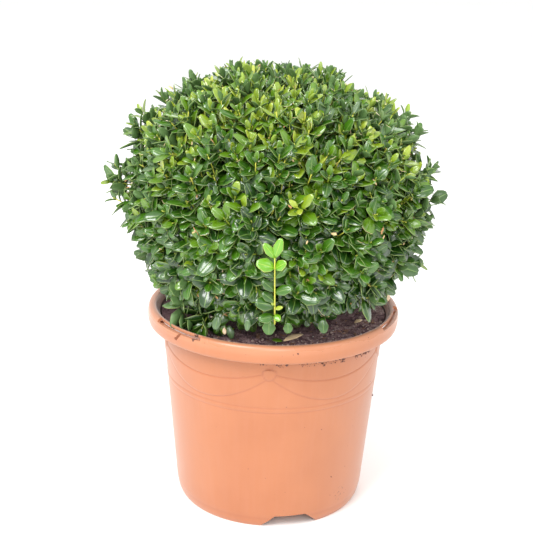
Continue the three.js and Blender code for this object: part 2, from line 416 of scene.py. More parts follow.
def pot_section():
    """The outline as radius and height, from under the floor round to the floor's top, and
    which of its rows are the outer wall."""
    inner_foot = FOOT_RADIUS - FOOT_THICKNESS
    flare = (wall_radius(FLARE_Z), FLARE_Z)
    inner_flare = (flare[0] - WALL_THICKNESS, FLARE_Z)
    inner_low_z = FLOOR_TOP + FLOOR_CORNER
    inner_low = (wall_radius(inner_low_z) - WALL_THICKNESS, inner_low_z)
    corner = (wall_radius(FLOOR_TOP) - WALL_THICKNESS, FLOOR_TOP)
    behind_skirt = SKIRT_EDGE[0] - RIM_THICKNESS
    centre_below = np.array([[0, FLOOR_UNDERSIDE]])
    under = chain(centre_below[0], [
        (None, (inner_foot + FOOT_SPREAD, FLOOR_UNDERSIDE), 2),
        (None, (inner_foot, 0), 1),
        (None, (FOOT_RADIUS, 0), 1),
    ])
    heights = np.concatenate([
        np.linspace(WALL_FOOT[1], ORNAMENT_LOW_Z, 14)[1:],
        np.arange(ORNAMENT_LOW_Z + 1, ORNAMENT_HIGH_Z, ORNAMENT_ROW),
        np.linspace(ORNAMENT_HIGH_Z, FLARE_Z, 4)[:-1],
    ])
    foot_curve = chain((FOOT_RADIUS, 0), [((RIM_RADIUS - 36.4, 5), WALL_FOOT, 7)])
    wall = np.concatenate([foot_curve, np.stack([wall_radius(heights), heights], axis=1)])
    rest = chain(flare, [
        # up inside the rim's roll, over, and down behind the skirt
        ((flare[0] + 2, RIM_BULGE_Z), (RIM_RADIUS - 7.6, 237.2), 7),
        ((RIM_RADIUS - 2, 237.8), (RIM_RADIUS - RIM_THICKNESS, RIM_BULGE_Z), 6),
        (None, (behind_skirt, SKIRT_EDGE[1]), 2),
        # round the skirt's edge, up its outside, over the top to the lip
        ((SKIRT_EDGE[0] - 1.1, 219.8), SKIRT_EDGE, 3),
        ((RIM_RADIUS, 225), (RIM_RADIUS, RIM_BULGE_Z), 4),
        ((RIM_RADIUS, POT_HEIGHT), (RIM_RADIUS - RIM_TOP_INSET, POT_HEIGHT), 8),
        ((LIP[0] + 1, POT_HEIGHT), LIP, 4),
        # down the flare and the wall's inside, round the corner and along the floor
        ((RIM_RADIUS - 15.2, 231), inner_flare, 7),
        (None, inner_low, 6),
        (corner, (corner[0] - FLOOR_CORNER, FLOOR_TOP), 4),
        (None, (0, FLOOR_TOP), 2),
    ])
    section = np.concatenate([centre_below, under, wall, rest])
    before = 1 + len(under)
    row = np.arange(len(section))
    return section, (row >= before) & (row < before + len(wall))


print("rows in the section:", len(pot_section()[0]))

# %% [markdown]
# ## The moulded ornament
#
# Below the rim the mould has a plain garland: half-round knots with two hanging lines between
# them, and under it a flat band that runs right round. It is a common pattern on such pots. Each
# line is a function of azimuth and height, so it can be both pressed into the wall and kept as a
# number on every point, which the plastic's material reads to darken the lines as painted shade.

# %% Sizes of the ornament
SWAG_COUNT = 5
KNOT_AZIMUTH = -91.3
KNOT_Z = 203.5
KNOT_HALF_WIDTH = 7.4
KNOT_DROP = 10.5  # its height below the middle; above it is a third of that
KNOT_EDGE = 0.12  # width of the groove round the knot, as a share of the knot
UPPER_LINE = (203, 14)  # height at the knot, and how far the line hangs
LOWER_LINE = (196.5, 33)
BAND = (152, 158)
FOOT_LINE_Z = 11.5
LINE_WIDTH = 0.85
LINE_DEPTH = 0.55
PANEL_RAISE = 0.45
PANEL_EDGE = 0.6
KNOT_RAISE = 1.1
FAINTER = 0.7  # the band and its lines, against the garland
print("degrees from knot to knot:", 360 / SWAG_COUNT)

# %% Ornament as a function of azimuth and height


def rise(distance, width):
    """0 to 1 across an edge: half of 1 + tanh(distance / width)."""
    return 0.5 + 0.5 * np.tanh(distance / width)


def groove(distance, width):
    """1 on a line and 0 away from it: exp(-(distance / width)^2)."""
    return np.exp(-(distance / width) ** 2)


def ornament(azimuth, z):
    """Height of the relief in mm, and how much each point is a groove, from 0 to 1.

    A line hangs by 1 - (1 - s)^2 at a share s of the way from a knot to the swag's middle."""
    span = 360 / SWAG_COUNT
    turn = turn_from(KNOT_AZIMUTH, azimuth, span)
    across = np.radians(turn) * wall_radius(z)
    share = np.abs(turn) / (span / 2)
    hang = 1 - (1 - share) ** 2
    upper = UPPER_LINE[0] - UPPER_LINE[1] * hang
    lower = LOWER_LINE[0] - LOWER_LINE[1] * hang
    half_span = math.radians(span / 2) * wall_radius(ORNAMENT_HIGH_Z)
    lean = np.cos(np.arctan(2 * LOWER_LINE[1] * (1 - share) / half_span))
    drop = np.where(z < KNOT_Z, KNOT_DROP, KNOT_DROP / 3)
    knot = np.hypot(across / KNOT_HALF_WIDTH, (z - KNOT_Z) / drop)
    outside_knot = rise(knot - 1, 0.08)
    hanging = np.maximum(groove(z - upper, LINE_WIDTH), groove((z - lower) * lean, LINE_WIDTH))
    lines = np.maximum(hanging * outside_knot, groove(knot - 1, KNOT_EDGE))
    for edge in (*BAND, FOOT_LINE_Z):
        lines = np.maximum(lines, FAINTER * groove(z - edge, LINE_WIDTH))
    panel = rise(z - lower, PANEL_EDGE) * rise(upper - z, PANEL_EDGE) * outside_knot
    band = rise(z - BAND[0], 0.5) * rise(BAND[1] - z, 0.5)
    height = PANEL_RAISE * np.maximum(panel, FAINTER * band) + KNOT_RAISE * (1 - outside_knot)
    return height - LINE_DEPTH * lines, lines


print("relief at a knot, mm:", ornament(KNOT_AZIMUTH, KNOT_Z)[0].round(2))

# %% [markdown]
# ## Turning the pot
#
# The section is turned about the pot's axis. A Screw modifier or a lathe would do the same, but
# an array of rings lets the ornament change the radius of every point. The centre of the floor
# is closed with one point above and one below, so the pot is one closed solid.

# %% Turning
POT_COLUMNS = 480


def turned(radius, height, azimuths):
    """Rows of points at (r cos a, r sin a, z); first and last row shrink to a pole."""
    rings = around(azimuths, radius, height)
    rows, columns = rings.shape[:2]
    poles = rings[[0, -1]].mean(axis=1)
    points = np.concatenate([rings[1:-1].reshape(-1, 3), poles])
    column = np.arange(columns)
    after = (column + 1) % columns
    last = (rows - 3) * columns
    low_pole = np.full(columns, len(points) - 2)
    high_pole = low_pole + 1
    fans = np.concatenate([
        np.stack([low_pole, after, column], axis=1),
        np.stack([high_pole, last + column, last + after], axis=1),
    ])
    return points, [grid_faces(rows - 2, columns), fans]


print("points in the turned pot:", POT_COLUMNS * (len(pot_section()[0]) - 2) + 2)

# %% [markdown]
# ## Cutting
#
# Openings in a moulded part are where two halves of the mould meet. They could be left out as
# missing faces, but a Boolean with a closed block keeps the wall a closed solid with true edges.
# All blocks of one kind are cut at once.

# %% Blocks and cuts


def ring_blocks(blocks, steps=12):
    """Blocks at (r cos a, r sin a, z) between two radii and two heights, curved with the pot.

    Each has its own angle at the low and at the high side, so that it can narrow upwards."""
    points = []
    faces = []
    caps = []
    for inner, outer, low, high, azimuth, low_angle, high_angle in blocks:
        along = np.linspace(-0.5, 0.5, steps + 1)[:, None]
        turn = azimuth + along * [low_angle, low_angle, high_angle, high_angle]
        start = 4 * (steps + 1) * len(points)
        block = around(turn, np.array([inner, outer, outer, inner]), [low, low, high, high])
        points.append(block.reshape(-1, 3))
        faces.append(start + grid_faces(steps + 1, 4)[:, [0, 3, 2, 1]])
        caps.append(start + np.array([[0, 1, 2, 3], 4 * steps + np.array([3, 2, 1, 0])]))
    return np.concatenate(points), [np.concatenate(faces), np.concatenate(caps)]


def joined_or_cut(operation, piece_mesh, points, face_sets):
    """Adds closed solids to a mesh or takes them away, with an exact Boolean, as a new mesh."""
    piece = bpy.data.objects.new("workpiece", piece_mesh)
    tool = bpy.data.objects.new("tool", mesh_of("tool", points, face_sets, []))
    scene.collection.objects.link(piece)
    scene.collection.objects.link(tool)
    modifier = piece.modifiers.new("shape", "BOOLEAN")
    modifier.operation = operation
    modifier.solver = "MANIFOLD"
    modifier.object = tool
    graph = bpy.context.evaluated_depsgraph_get()
    result = bpy.data.meshes.new_from_object(piece.evaluated_get(graph))
    bpy.data.objects.remove(piece)
    bpy.data.objects.remove(tool)
    return result


print("points in one curved block:", len(ring_blocks([(9, 10, 0, 1, 0, 30, 30)])[0]))

# %% [markdown]
# ## Hand grips
#
# Three grips for the fingers are sunk in the rim. In each, the outer half of the rim is a step
# lower, so a bar is left to hold, and behind it a ledge joins the skirt to the wall, with two
# small holes near each end that let water out. The step is cut, the ledge is added, and then the
# holes are cut through the ledge.

# %% Hand grips
GRIP_COUNT = 3
GRIP_AZIMUTH = -17.5
GRIP_ANGLE = 30
GRIP_INNER = RIM_RADIUS - 6.6
GRIP_BAR_TOP = 236.4
GRIP_LEDGE = (231.6, 234)
GRIP_HOLE = (RIM_RADIUS - 5.8, RIM_RADIUS - 3)
GRIP_HOLE_ANGLE = 1.6
GRIP_HOLES_AWAY = (-13.6, -11.3, 11.3, 13.6)
BEYOND = 5  # how far a cutting block stands out of the wall it cuts


def with_grips(mesh):
    """The mesh with its grips: a step cut at each azimuth, a ledge added, its holes cut."""
    grips = GRIP_AZIMUTH + 360 / GRIP_COUNT * np.arange(GRIP_COUNT)
    step = (GRIP_INNER, RIM_RADIUS + BEYOND, GRIP_BAR_TOP, POT_HEIGHT + BEYOND)
    ledge = (GRIP_INNER - RIM_THICKNESS, RIM_RADIUS - RIM_THICKNESS / 2, *GRIP_LEDGE)
    hole = (*GRIP_HOLE, GRIP_LEDGE[0] - BEYOND, POT_HEIGHT)
    steps = [(*step, azimuth, GRIP_ANGLE, GRIP_ANGLE) for azimuth in grips]
    ledges = [(*ledge, azimuth, GRIP_ANGLE, GRIP_ANGLE) for azimuth in grips]
    holes = [
        (*hole, azimuth + away, GRIP_HOLE_ANGLE, GRIP_HOLE_ANGLE)
        for azimuth in grips
        for away in GRIP_HOLES_AWAY
    ]
    mesh = joined_or_cut("DIFFERENCE", mesh, *ring_blocks(steps))
    mesh = joined_or_cut("UNION", mesh, *ring_blocks(ledges))
    return joined_or_cut("DIFFERENCE", mesh, *ring_blocks(holes, 1))


print("grips:", GRIP_COUNT, "holes:", GRIP_COUNT * len(GRIP_HOLES_AWAY))

# %% [markdown]
# ## Foot notches and drain holes
#
# The pot stands on a ring with three wide notches, so that water and air get under its floor,
# and the floor has a ring of round holes. The notches are curved blocks that narrow upwards, and
# the drills are straight tubes from the section on curves.

# %% Foot notches and drain holes
NOTCH_COUNT = 3
NOTCH_AZIMUTH = -77
NOTCH_ANGLES = (36.6, 18.4)  # at the ground and at the notch's top
NOTCH_HEIGHT = FLOOR_UNDERSIDE - 1
DRAIN_COUNT = 6
DRAIN_RADIUS = 6.5
DRAIN_CIRCLE_RADIUS = 80
DRILL_SIDES = 32
DRILL_BEYOND = 4


def with_foot_openings(mesh):
    """The mesh with notches every 120 degrees and drain holes evenly round a circle."""
    notch = (FOOT_RADIUS - FOOT_THICKNESS - BEYOND, WALL_FOOT[0] + BEYOND, -0.5, NOTCH_HEIGHT)
    notches = [
        (*notch, NOTCH_AZIMUTH + 360 / NOTCH_COUNT * number, *NOTCH_ANGLES)
        for number in range(NOTCH_COUNT)
    ]
    mesh = joined_or_cut("DIFFERENCE", mesh, *ring_blocks(notches))
    azimuths = 360 / DRAIN_COUNT * np.arange(DRAIN_COUNT)
    low = around(azimuths, DRAIN_CIRCLE_RADIUS, FLOOR_UNDERSIDE - DRILL_BEYOND)
    high = around(azimuths, DRAIN_CIRCLE_RADIUS, FLOOR_TOP + DRILL_BEYOND)
    thick = np.full(DRAIN_COUNT, DRAIN_RADIUS)
    drills = tubes(curve_between(low, high), thick, thick, DRILL_SIDES, 1)
    return joined_or_cut("DIFFERENCE", mesh, *drills)


print("notch height in mm:", round(NOTCH_HEIGHT, 1), "drain holes:", DRAIN_COUNT)

# %% [markdown]
# ## Finish: satin polypropylene in terracotta colour
#
# The plastic is coloured right through, with a fine moulded grain that makes it satin. Light
# comes off it broad and soft, and brighter where the wall turns away. Flow marks and handling
# leave soft patches a few centimetres wide, the ornament's lines are darkened as painted shade,
# and the rim's top is glossier and painted paler as a highlight. So the colour is built in
# layers: each has a share, which comes from noise or from a number kept on the points, and lays
# its own colour over the one before. A colour Mix node keeps its two colours in sockets 6 and 7
# and gives the result in socket 2.

# %% Satin polypropylene
COLOUR_A, COLOUR_B, COLOUR_OUT = 6, 7, 2
PLASTIC_IOR = 1.49
HAZE = {"Sheen Weight": 0.25, "Sheen Roughness": 0.45}  # pale where the wall turns away
PATCH_MM = 55
FLOW_MM = (7, 7, 120)
SPECK_MM = 2.4
GRAIN_MM = 0.9  # the real grain is a third of this, and drawn coarser so that it shows


def plastic_finish():
    """Injection moulded polypropylene: satin, soft patches, dirt, painted groove shade and rim
    highlight.
    """
    values = {"IOR": PLASTIC_IOR, **HAZE}
    material, tree, shader = new_finish("satin_terracotta_polypropylene", values)
    place = add(tree, "TexCoord", out="Object")
    patches = add(tree, "TexNoise", {"Vector": place, "Scale": per(PATCH_MM), "Detail": 4.0})
    drawn = add(tree, "Mapping", {"Vector": place, "Scale": [per(size) for size in FLOW_MM]})
    streaks = add(tree, "TexNoise", {"Vector": drawn, "Scale": 1.0, "Detail": 3.0})
    specks = add(tree, "TexNoise", {"Vector": place, "Scale": per(SPECK_MM), "Detail": 6.0})
    grain = add(tree, "TexNoise", {"Vector": place, "Scale": per(GRAIN_MM), "Detail": 2.0})
    painted_groove_shade, dirt, rim_highlight_and_polish = (
        add(tree, "Attribute", out="Fac", attribute_name=layer)
        for layer in ("painted_groove_shade", "dirt", "rim_highlight_and_polish")
    )
    # each share: faint flow marks, painted line shade, painted rim highlight, soil broken by
    # specks
    flow = {"Value": streaks, "From Min": 0.45, "From Max": 0.75, "To Max": 0.14}
    flowed = add(tree, "MapRange", flow)
    # painted shade: the ornament's lines are darkened
    painted_line_shade = add(tree, "Math", {0: painted_groove_shade, 1: 0.35}, operation="MULTIPLY")
    broken_up = add(tree, "Math", {0: dirt, 1: specks}, operation="ADD")
    cover = {"Value": broken_up, "From Min": 1.02, "From Max": 1.16, "To Max": 0.9}
    soiled = add(tree, "MapRange", cover)
    colour = add(tree, "ValToRGB", {"Fac": patches}, [(0.30, "#b16e49"), (0.70, "#b8754f")])
    layers = [(flowed, "#b98069"), (painted_line_shade, "#9c5840"), (rim_highlight_and_polish, "#d39a7a"), (soiled, "#42251f")]
    for share, over in layers:
        blend = {0: share, COLOUR_A: colour, COLOUR_B: linear(over)}
        colour = add(tree, "Mix", blend, out=COLOUR_OUT, data_type="RGBA")
    satin = {"Value": patches, "From Min": 0.3, "From Max": 0.7, "To Min": 0.36, "To Max": 0.48}
    polish = add(tree, "Math", {0: rim_highlight_and_polish, 1: 0.55}, operation="MULTIPLY")
    gloss = {0: add(tree, "MapRange", satin), 1: polish}
    roughness = add(tree, "Math", gloss, operation="SUBTRACT")
    bump = add(tree, "Bump", {"Height": grain, "Strength": 0.12, "Distance": 0.2 * MM})
    plug(tree, shader, {"Base Color": colour, "Roughness": roughness, "Normal": bump})
    return material


PLASTIC = plastic_finish()
print(PLASTIC.name, "nodes:", len(PLASTIC.node_tree.nodes))

# %% [markdown]
# ## Finish: soil-stained polypropylene
#
# Inside, above the soil, watering has left the same plastic dull and stained dark brown, in runs
# that are longer than wide. It is a finish of its own, because no dirt attribute has to be
# painted for it: the noise stretched along Z is the stain.

# %% Stained polypropylene
STAIN_MM = (9, 9, 24)
GRIT_MM = 1.5


def stained_finish():
    """The same plastic inside the pot: duller, with dark runs and a little grit stuck to it."""
    values = {"IOR": PLASTIC_IOR, "Roughness": 0.55}
    material, tree, shader = new_finish("soil_stained_polypropylene", values)
    place = add(tree, "TexCoord", out="Object")
    drawn = add(tree, "Mapping", {"Vector": place, "Scale": [per(size) for size in STAIN_MM]})
    stain = add(tree, "TexNoise", {"Vector": drawn, "Scale": 1.0, "Detail": 6.0})
    grit = add(tree, "TexNoise", {"Vector": place, "Scale": per(GRIT_MM), "Detail": 4.0})
    stops = [(0.38, "#2f1c1b"), (0.58, "#5e3028"), (0.80, "#98553e")]
    colour = add(tree, "ValToRGB", {"Fac": stain}, stops)
    bump = add(tree, "Bump", {"Height": grit, "Strength": 0.35, "Distance": 0.4 * MM})
    plug(tree, shader, {"Base Color": colour, "Normal": bump})
    return material


STAINED = stained_finish()
print(STAINED.name, "nodes:", len(STAINED.node_tree.nodes))

# %% [markdown]
# ## The pot, soiled, with painted groove shade and a painted rim highlight
#
# A used pot is dirty where hands and water go: soil was spilt down the front, a grip holds some,
# and the foot is scuffed. The ornament's lines are darkened as painted shade, and the rim's top
# is painted paler as a highlight and made glossier. These places could be painted by hand on an
# image, but each is only a soft patch at an azimuth and a height, so it is a formula, and its
# value is kept on the points for the plastic to read.

# %% Where dirt lies on the pot
SPILL = {"azimuth": -64, "spread": 20, "z": -1.0, "height": 2.6, "strength": 0.60}
DIRTY_GRIP = {"azimuth": -126, "spread": 1.7, "z": 238, "height": 7, "strength": 0.85}
SCUFFS = {"azimuth": -44, "spread": 20, "z": 28, "height": 26, "strength": 0.46}
# painted highlight: the rim's top is painted paler, and the same share makes it glossier
RIM_HIGHLIGHT_SHARE = 0.3
RIM_HIGHLIGHT_ABOVE_Z = 232
SPILL_Z = 214
SPILL_FALL = 0.0017


def smudge(azimuth, z, place):
    """A soft patch: strength times exp(-(angle away / spread)^2 - (height away / height)^2)."""
    turn = turn_from(place["azimuth"], azimuth)
    away = (turn / place["spread"]) ** 2 + ((z - place["z"]) / place["height"]) ** 2
    return place["strength"] * np.exp(-away)


def spill_line(azimuth):
    """Height where soil clings under the rim: 214 - 0.0017 (azimuth + 90)^2, highest in front."""
    return SPILL_Z - SPILL_FALL * (azimuth + 90) ** 2


print("dirt in the middle of the spill:", smudge(SPILL["azimuth"], SPILL["z"], SPILL))

# %% The pot
CLEAN_ROWS = 5  # rows of clean plastic from the rim's top to the stained inside
SHARP_ANGLE = 38


def paint(mesh, name, values):
    """Keeps one number on every point, for a material to read."""
    layer = mesh.attributes.new(name, "FLOAT", "POINT")
    layer.data.foreach_set("value", values.astype(np.float32))


def points_of(mesh):
    """A mesh's points in mm, as an array."""
    flat = np.empty(3 * len(mesh.vertices), np.float32)
    mesh.vertices.foreach_get("co", flat)
    return flat.reshape(-1, 3).astype(float) / MM


def pot_solid():
    """The section plus relief, turned, with its stained inside, and then cut."""
    section, is_wall = pot_section()
    azimuths = np.arange(POT_COLUMNS) * 360 / POT_COLUMNS
    radius, height = section[:, :1], section[:, 1:]
    relief, _ = ornament(azimuths[None, :], height)
    radius = radius + is_wall[:, None] * relief
    points, faces = turned(radius, height, azimuths)
    last_clean = int(np.argmax(section[:, 1])) + CLEAN_ROWS
    inside = np.repeat(np.arange(len(section) - 3) > last_clean, POT_COLUMNS)
    inside = np.concatenate([inside, np.zeros(POT_COLUMNS), np.ones(POT_COLUMNS)])
    mesh = mesh_of("pot", points, faces, [PLASTIC, STAINED], inside)
    return with_foot_openings(with_grips(mesh))


def paint_pot(mesh):
    """Painted groove shade, dirt and the painted rim highlight at each point, by azimuth and
    height.
    """
    points = points_of(mesh)
    azimuth = np.degrees(np.arctan2(points[:, 1], points[:, 0]))
    z = points[:, 2]
    reach = np.hypot(points[:, 0], points[:, 1])
    on_wall = reach < SKIRT_EDGE[0] - RIM_THICKNESS - 1
    spilt = smudge(azimuth, z - spill_line(azimuth), SPILL) * on_wall
    in_grip = smudge(azimuth, z, DIRTY_GRIP) * (reach > GRIP_INNER - 2)
    # painted shade in the ornament's grooves, for the plastic to read
    paint(mesh, "painted_groove_shade", ornament(azimuth, z)[1] * on_wall)
    paint(mesh, "dirt", np.maximum.reduce([spilt, in_grip, smudge(azimuth, z, SCUFFS)]))
    # painted highlight on the rim's top, which the plastic also reads as polish
    paint(mesh, "rim_highlight_and_polish", RIM_HIGHLIGHT_SHARE * (reach > LIP[0] - 2) * rise(z - RIM_HIGHLIGHT_ABOVE_Z, 3))


pot_mesh = pot_solid()
paint_pot(pot_mesh)
pot_mesh.set_sharp_from_angle(angle=math.radians(SHARP_ANGLE))
add_piece("pot_moulding", pot_mesh, "pot")

# %% [markdown]
# ## Soil
#
# The pot is filled with peat potting soil to a finger's breadth under the rim. It is a dark
# crumbly surface with fibres and grit, banked up a little against the wall. Its browns are drawn
# paler than peat as painted light, and its left side darker as a painted shadow. The plug of soil
# is a turned surface again. A displaced grid would need no poles, but rings can lie close
# together just where the soil shows, between the foliage and the wall. Noise of four sizes lifts
# and lowers it by a few millimetres.

# %% Height of the soil
SOIL_RADIUS = SOIL_HIGH[0]
SOIL_EDGE = SOIL_RADIUS + 4.2
BANK_START = 96
BANK_HEIGHT = 5.2
SOIL_LUMPS = [(34, 1.5), (11, 1.1), (4.5, 0.8), (2.2, 0.45)]  # size and height in mm


def soil_height(x, y):
    """Height of the soil's top: value noise of four sizes, and a slope up to the wall."""
    flat = np.stack([x, y, 0 * x], axis=-1).reshape(-1, 3)
    sizes = enumerate(SOIL_LUMPS, 20)
    lumps = sum(deep * noise(flat, size, seed) for seed, (size, deep) in sizes)
    bank = BANK_HEIGHT * np.clip((np.hypot(x, y) - BANK_START) / (SOIL_EDGE - BANK_START), 0, 1)
    return SOIL_TOP - 0.4 + lumps.reshape(np.shape(x)) + bank


print("soil height near the wall, mm:", soil_height(SOIL_EDGE, 0.0).round(1))

# %% Finish: moist peat soil
# the soil is darker towards -X, as a painted shadow
PAINTED_SHADOW_X = (-120, -30)
CLOD_MM = 9
CRUMB_MM = 1.6


def soil_finish():
    """Moist peat, IOR 1.4: matt purplish brown, paler fibres, painted shade in gaps and at the
    left.
    """
    material, tree, shader = new_finish("moist_peat_soil", {"IOR": 1.4, "Roughness": 0.92})
    place = add(tree, "TexCoord", out="Object")
    clods = add(tree, "TexNoise", {"Vector": place, "Scale": per(CLOD_MM), "Detail": 6.0})
    grit = add(tree, "TexVoronoi", {"Vector": place, "Scale": per(CRUMB_MM)})
    # painted light: these browns are paler than moist peat, to make up for the crown's shade on
    # the soil
    stops = [(0.34, "#6e5056"), (0.5, "#a38083"), (0.62, "#b99a99"), (0.74, "#d9c6c0")]
    colour = add(tree, "ValToRGB", {"Fac": clods}, stops)
    # painted light and shade: grains a little lighter, the gaps between them darker
    gaps = {"Value": grit, "From Min": 0.1, "From Max": 0.7, "To Min": 1.15, "To Max": 0.5}
    shade = {0: 1.0, COLOUR_A: colour, COLOUR_B: add(tree, "MapRange", gaps)}
    shaded = add(tree, "Mix", shade, out=COLOUR_OUT, data_type="RGBA", blend_type="MULTIPLY")
    # painted shadow: the colour darkens towards -X
    across = add(tree, "SeparateXYZ", {"Vector": place}, out="X")
    left, right = (MM * x for x in PAINTED_SHADOW_X)
    painted_shadow = {"Value": across, "From Min": left, "From Max": right, "To Min": 0.8, "To Max": 0.0}
    shadow_mix = {0: add(tree, "MapRange", painted_shadow), COLOUR_A: shaded, COLOUR_B: linear("#4c3437")}
    bump = add(tree, "Bump", {"Height": grit, "Strength": 0.6, "Distance": 0.8 * MM})
    shadowed = add(tree, "Mix", shadow_mix, out=COLOUR_OUT, data_type="RGBA")
    plug(tree, shader, {"Base Color": shadowed, "Normal": bump})
    return material


PEAT = soil_finish()
print(PEAT.name, "nodes:", len(PEAT.node_tree.nodes))

# %% The plug of soil
SOIL_COLUMNS = 360
SOIL_FOOT_BEVEL = 8


def make_soil():
    """A turned outline, flat below, whose top rows take the soil's height at their place."""
    low, top = SOIL_LOW[2], SOIL_TOP
    side = wall_radius(low + SOIL_FOOT_BEVEL) - WALL_THICKNESS - 0.3
    outline = np.concatenate([
        [[0, low], [side - SOIL_FOOT_BEVEL, low], [side, low + SOIL_FOOT_BEVEL]],
        [[SOIL_RADIUS, FLARE_Z], [SOIL_RADIUS + 0.9, top - 1.5], [SOIL_EDGE - 1.2, top + 2.5]],
        np.stack([np.linspace(SOIL_EDGE, 70, 58), np.full(58, top)], axis=1),
        np.stack([np.linspace(64, 12, 9), np.full(9, top)], axis=1),
        [[0, top]],
    ])
    azimuths = np.arange(SOIL_COLUMNS) * 360 / SOIL_COLUMNS
    radius = np.repeat(outline[:, :1], SOIL_COLUMNS, axis=1)
    turn = np.radians(azimuths)
    crumbly = soil_height(radius * np.cos(turn), radius * np.sin(turn))
    height = np.where(outline[:, 1:] == top, crumbly, outline[:, 1:])
    points, faces = turned(radius, height, azimuths)
    add_piece("soil_plug", mesh_of("soil", points, faces, [PEAT]), "soil")


make_soil()

# %% [markdown]
# ## Pebbles
#
# What lies loose on the soil is what makes it look like soil. A particle system could strew it,
# but the export needs real meshes. So one small closed pebble of a few dozen faces is repeated,
# stretched, turned and dented at random, all at once, and each kind becomes one joined mesh. The
# same pebble later makes the buds and the dry scraps of leaf.

# %% Pebbles
chance = np.random.default_rng(41)


def random_turns(count, chance):
    """Random rotations, as three square unit vectors each."""
    first = unit(chance.normal(size=(count, 3)))
    second = unit(np.cross(first, unit(chance.normal(size=(count, 3)))))
    return np.stack([first, second, np.cross(first, second)], axis=1)


def pebbles(centres, sizes, axes, chance, rings=3, sides=6, dent=0.22):
    """Dented ellipsoids: latitude rings about each centre, half-axes `sizes` along `axes`."""
    latitude = np.radians(np.linspace(-90, 90, rings + 2)[1:-1])[:, None]
    azimuths = 360 * np.arange(sides) / sides
    ball = around(azimuths, np.cos(latitude), np.sin(latitude)).reshape(-1, 3)
    ball = np.concatenate([ball, [[0, 0, -1], [0, 0, 1]]])
    count, size = len(centres), len(ball)
    dents = 1 + dent * chance.uniform(-1, 1, (count, size, 1))
    shaped = ball * dents * sizes[:, None, :]
    points = centres[:, None] + np.einsum("nik,nkj->nij", shaped, axes)
    ring = np.arange(sides)
    after = (ring + 1) % sides
    last = (rings - 1) * sides
    low = np.stack([np.full(sides, size - 2), after, ring], axis=1)
    high = np.stack([np.full(sides, size - 1), last + ring, last + after], axis=1)
    first = (size * np.arange(count))[:, None, None]
    quads = (first + grid_faces(rings, sides)).reshape(-1, 4)
    fans = (first + np.concatenate([low, high])).reshape(-1, 3)
    return points.reshape(-1, 3), [quads, fans]


def plain_finish(name, colour, roughness, more=None):
    """One even colour on small grains, leaves or shoots, dealt out by the piece or spray."""
    values = {"Base Color": linear(colour), "Roughness": roughness, **(more or {})}
    return new_finish(name, values)[0]


def add_pebbles(name, node_name, finish, *shape):
    """One piece of pebbles in one finish; `shape` is what pebbles() asks for."""
    points, faces = pebbles(*shape)
    add_piece(name, mesh_of(name, points, faces, [finish]), node_name)


def add_dealt_pebbles(name, node_name, stem, colours, roughness, shape, deal):
    """One piece of pebbles in several plain colours; deal(n) gives each pebble a number."""
    points, faces = pebbles(*shape)
    finishes = [plain_finish(f"{stem}_{n}", c, roughness) for n, c in enumerate(colours, 1)]
    dealt = deal(len(finishes))
    finish = np.concatenate([np.repeat(dealt, len(part) // len(dealt)) for part in faces])
    add_piece(name, mesh_of(name, points, faces, finishes, finish), node_name)


one = pebbles(np.zeros((1, 3)), np.ones((1, 3)), np.eye(3)[None], np.random.default_rng(0))
print("faces of one pebble:", sum(map(len, one[1])))

# %% [markdown]
# ## Peat crumbs
#
# Most of what lies loose is peat itself, in crumbs of one to four millimetres that are half sunk.
# Each takes one of three plain colours, and on the left side a fourth, darker, as painted shadow.

# %% Peat crumbs
CRUMB_COUNT = 1300
CRUMB_COLOURS = ["#4e3a3d", "#69545b", "#9d8484", "#bba49b"]  # matt peat: the first is painted shadow on the left, the others damp to dry


def scatter(count, inner, outer):
    """Points spread evenly over a ring of the soil: radius is the root of an even number."""
    radius = np.sqrt(chance.uniform(inner ** 2, outer ** 2, count))
    turn = chance.uniform(0, 2 * np.pi, count)
    x, y = radius * np.cos(turn), radius * np.sin(turn)
    return np.stack([x, y, soil_height(x, y)], axis=1)


def make_crumbs():
    """Pebbles of gamma distributed size all over the soil that shows."""
    centres = scatter(CRUMB_COUNT, 66, SOIL_EDGE - 2)
    size = chance.gamma(3.0, 0.28, (CRUMB_COUNT, 1)) + 0.4
    sizes = size * chance.uniform(0.6, 1.0, (CRUMB_COUNT, 3))
    shape = (centres, sizes, random_turns(CRUMB_COUNT, chance), chance)
    # crumbs on the left take the darkest colour, as painted shadow
    painted_shadow = centres[:, 0] < sum(PAINTED_SHADOW_X) / 2
    add_dealt_pebbles(
        "soil_crumbs", "soil", "peat_crumb", CRUMB_COLOURS, 0.9, shape,
        lambda n: np.where(painted_shadow, 0, chance.integers(1, n, CRUMB_COUNT)),
    )


make_crumbs()

# %% [markdown]
# ## Bark and perlite
#
# Potting soil holds slivers of composted bark, long and flat and lying nearly level, and white
# expanded grains of perlite. Both are pebbles again, with their own half-axes.

# %% Bark and perlite
CHIP_COUNT = 150
PERLITE_COUNT = 34


def make_chips():
    """Slivers whose width is a third and whose thickness is a sixth of their length."""
    centres = scatter(CHIP_COUNT, 68, SOIL_RADIUS - 5) + [0, 0, 0.5]
    turn = chance.uniform(0, 2 * np.pi, CHIP_COUNT)
    long = unit(np.stack([np.cos(turn), np.sin(turn), chance.normal(0, 0.2, CHIP_COUNT)], axis=1))
    wide = side_of(long)
    axes = np.stack([long, wide, np.cross(long, wide)], axis=1)
    length = chance.gamma(4.0, 0.55, (CHIP_COUNT, 1)) + 0.8
    sizes = np.concatenate([length, 0.32 * length, 0.16 * length + 0.2], axis=1)
    finish = plain_finish("composted_bark", "#8f6c58", 0.8)  # dry, warmer than the peat
    add_pebbles("bark_chips", "soil", finish, centres, sizes, axes, chance, 3, 5)


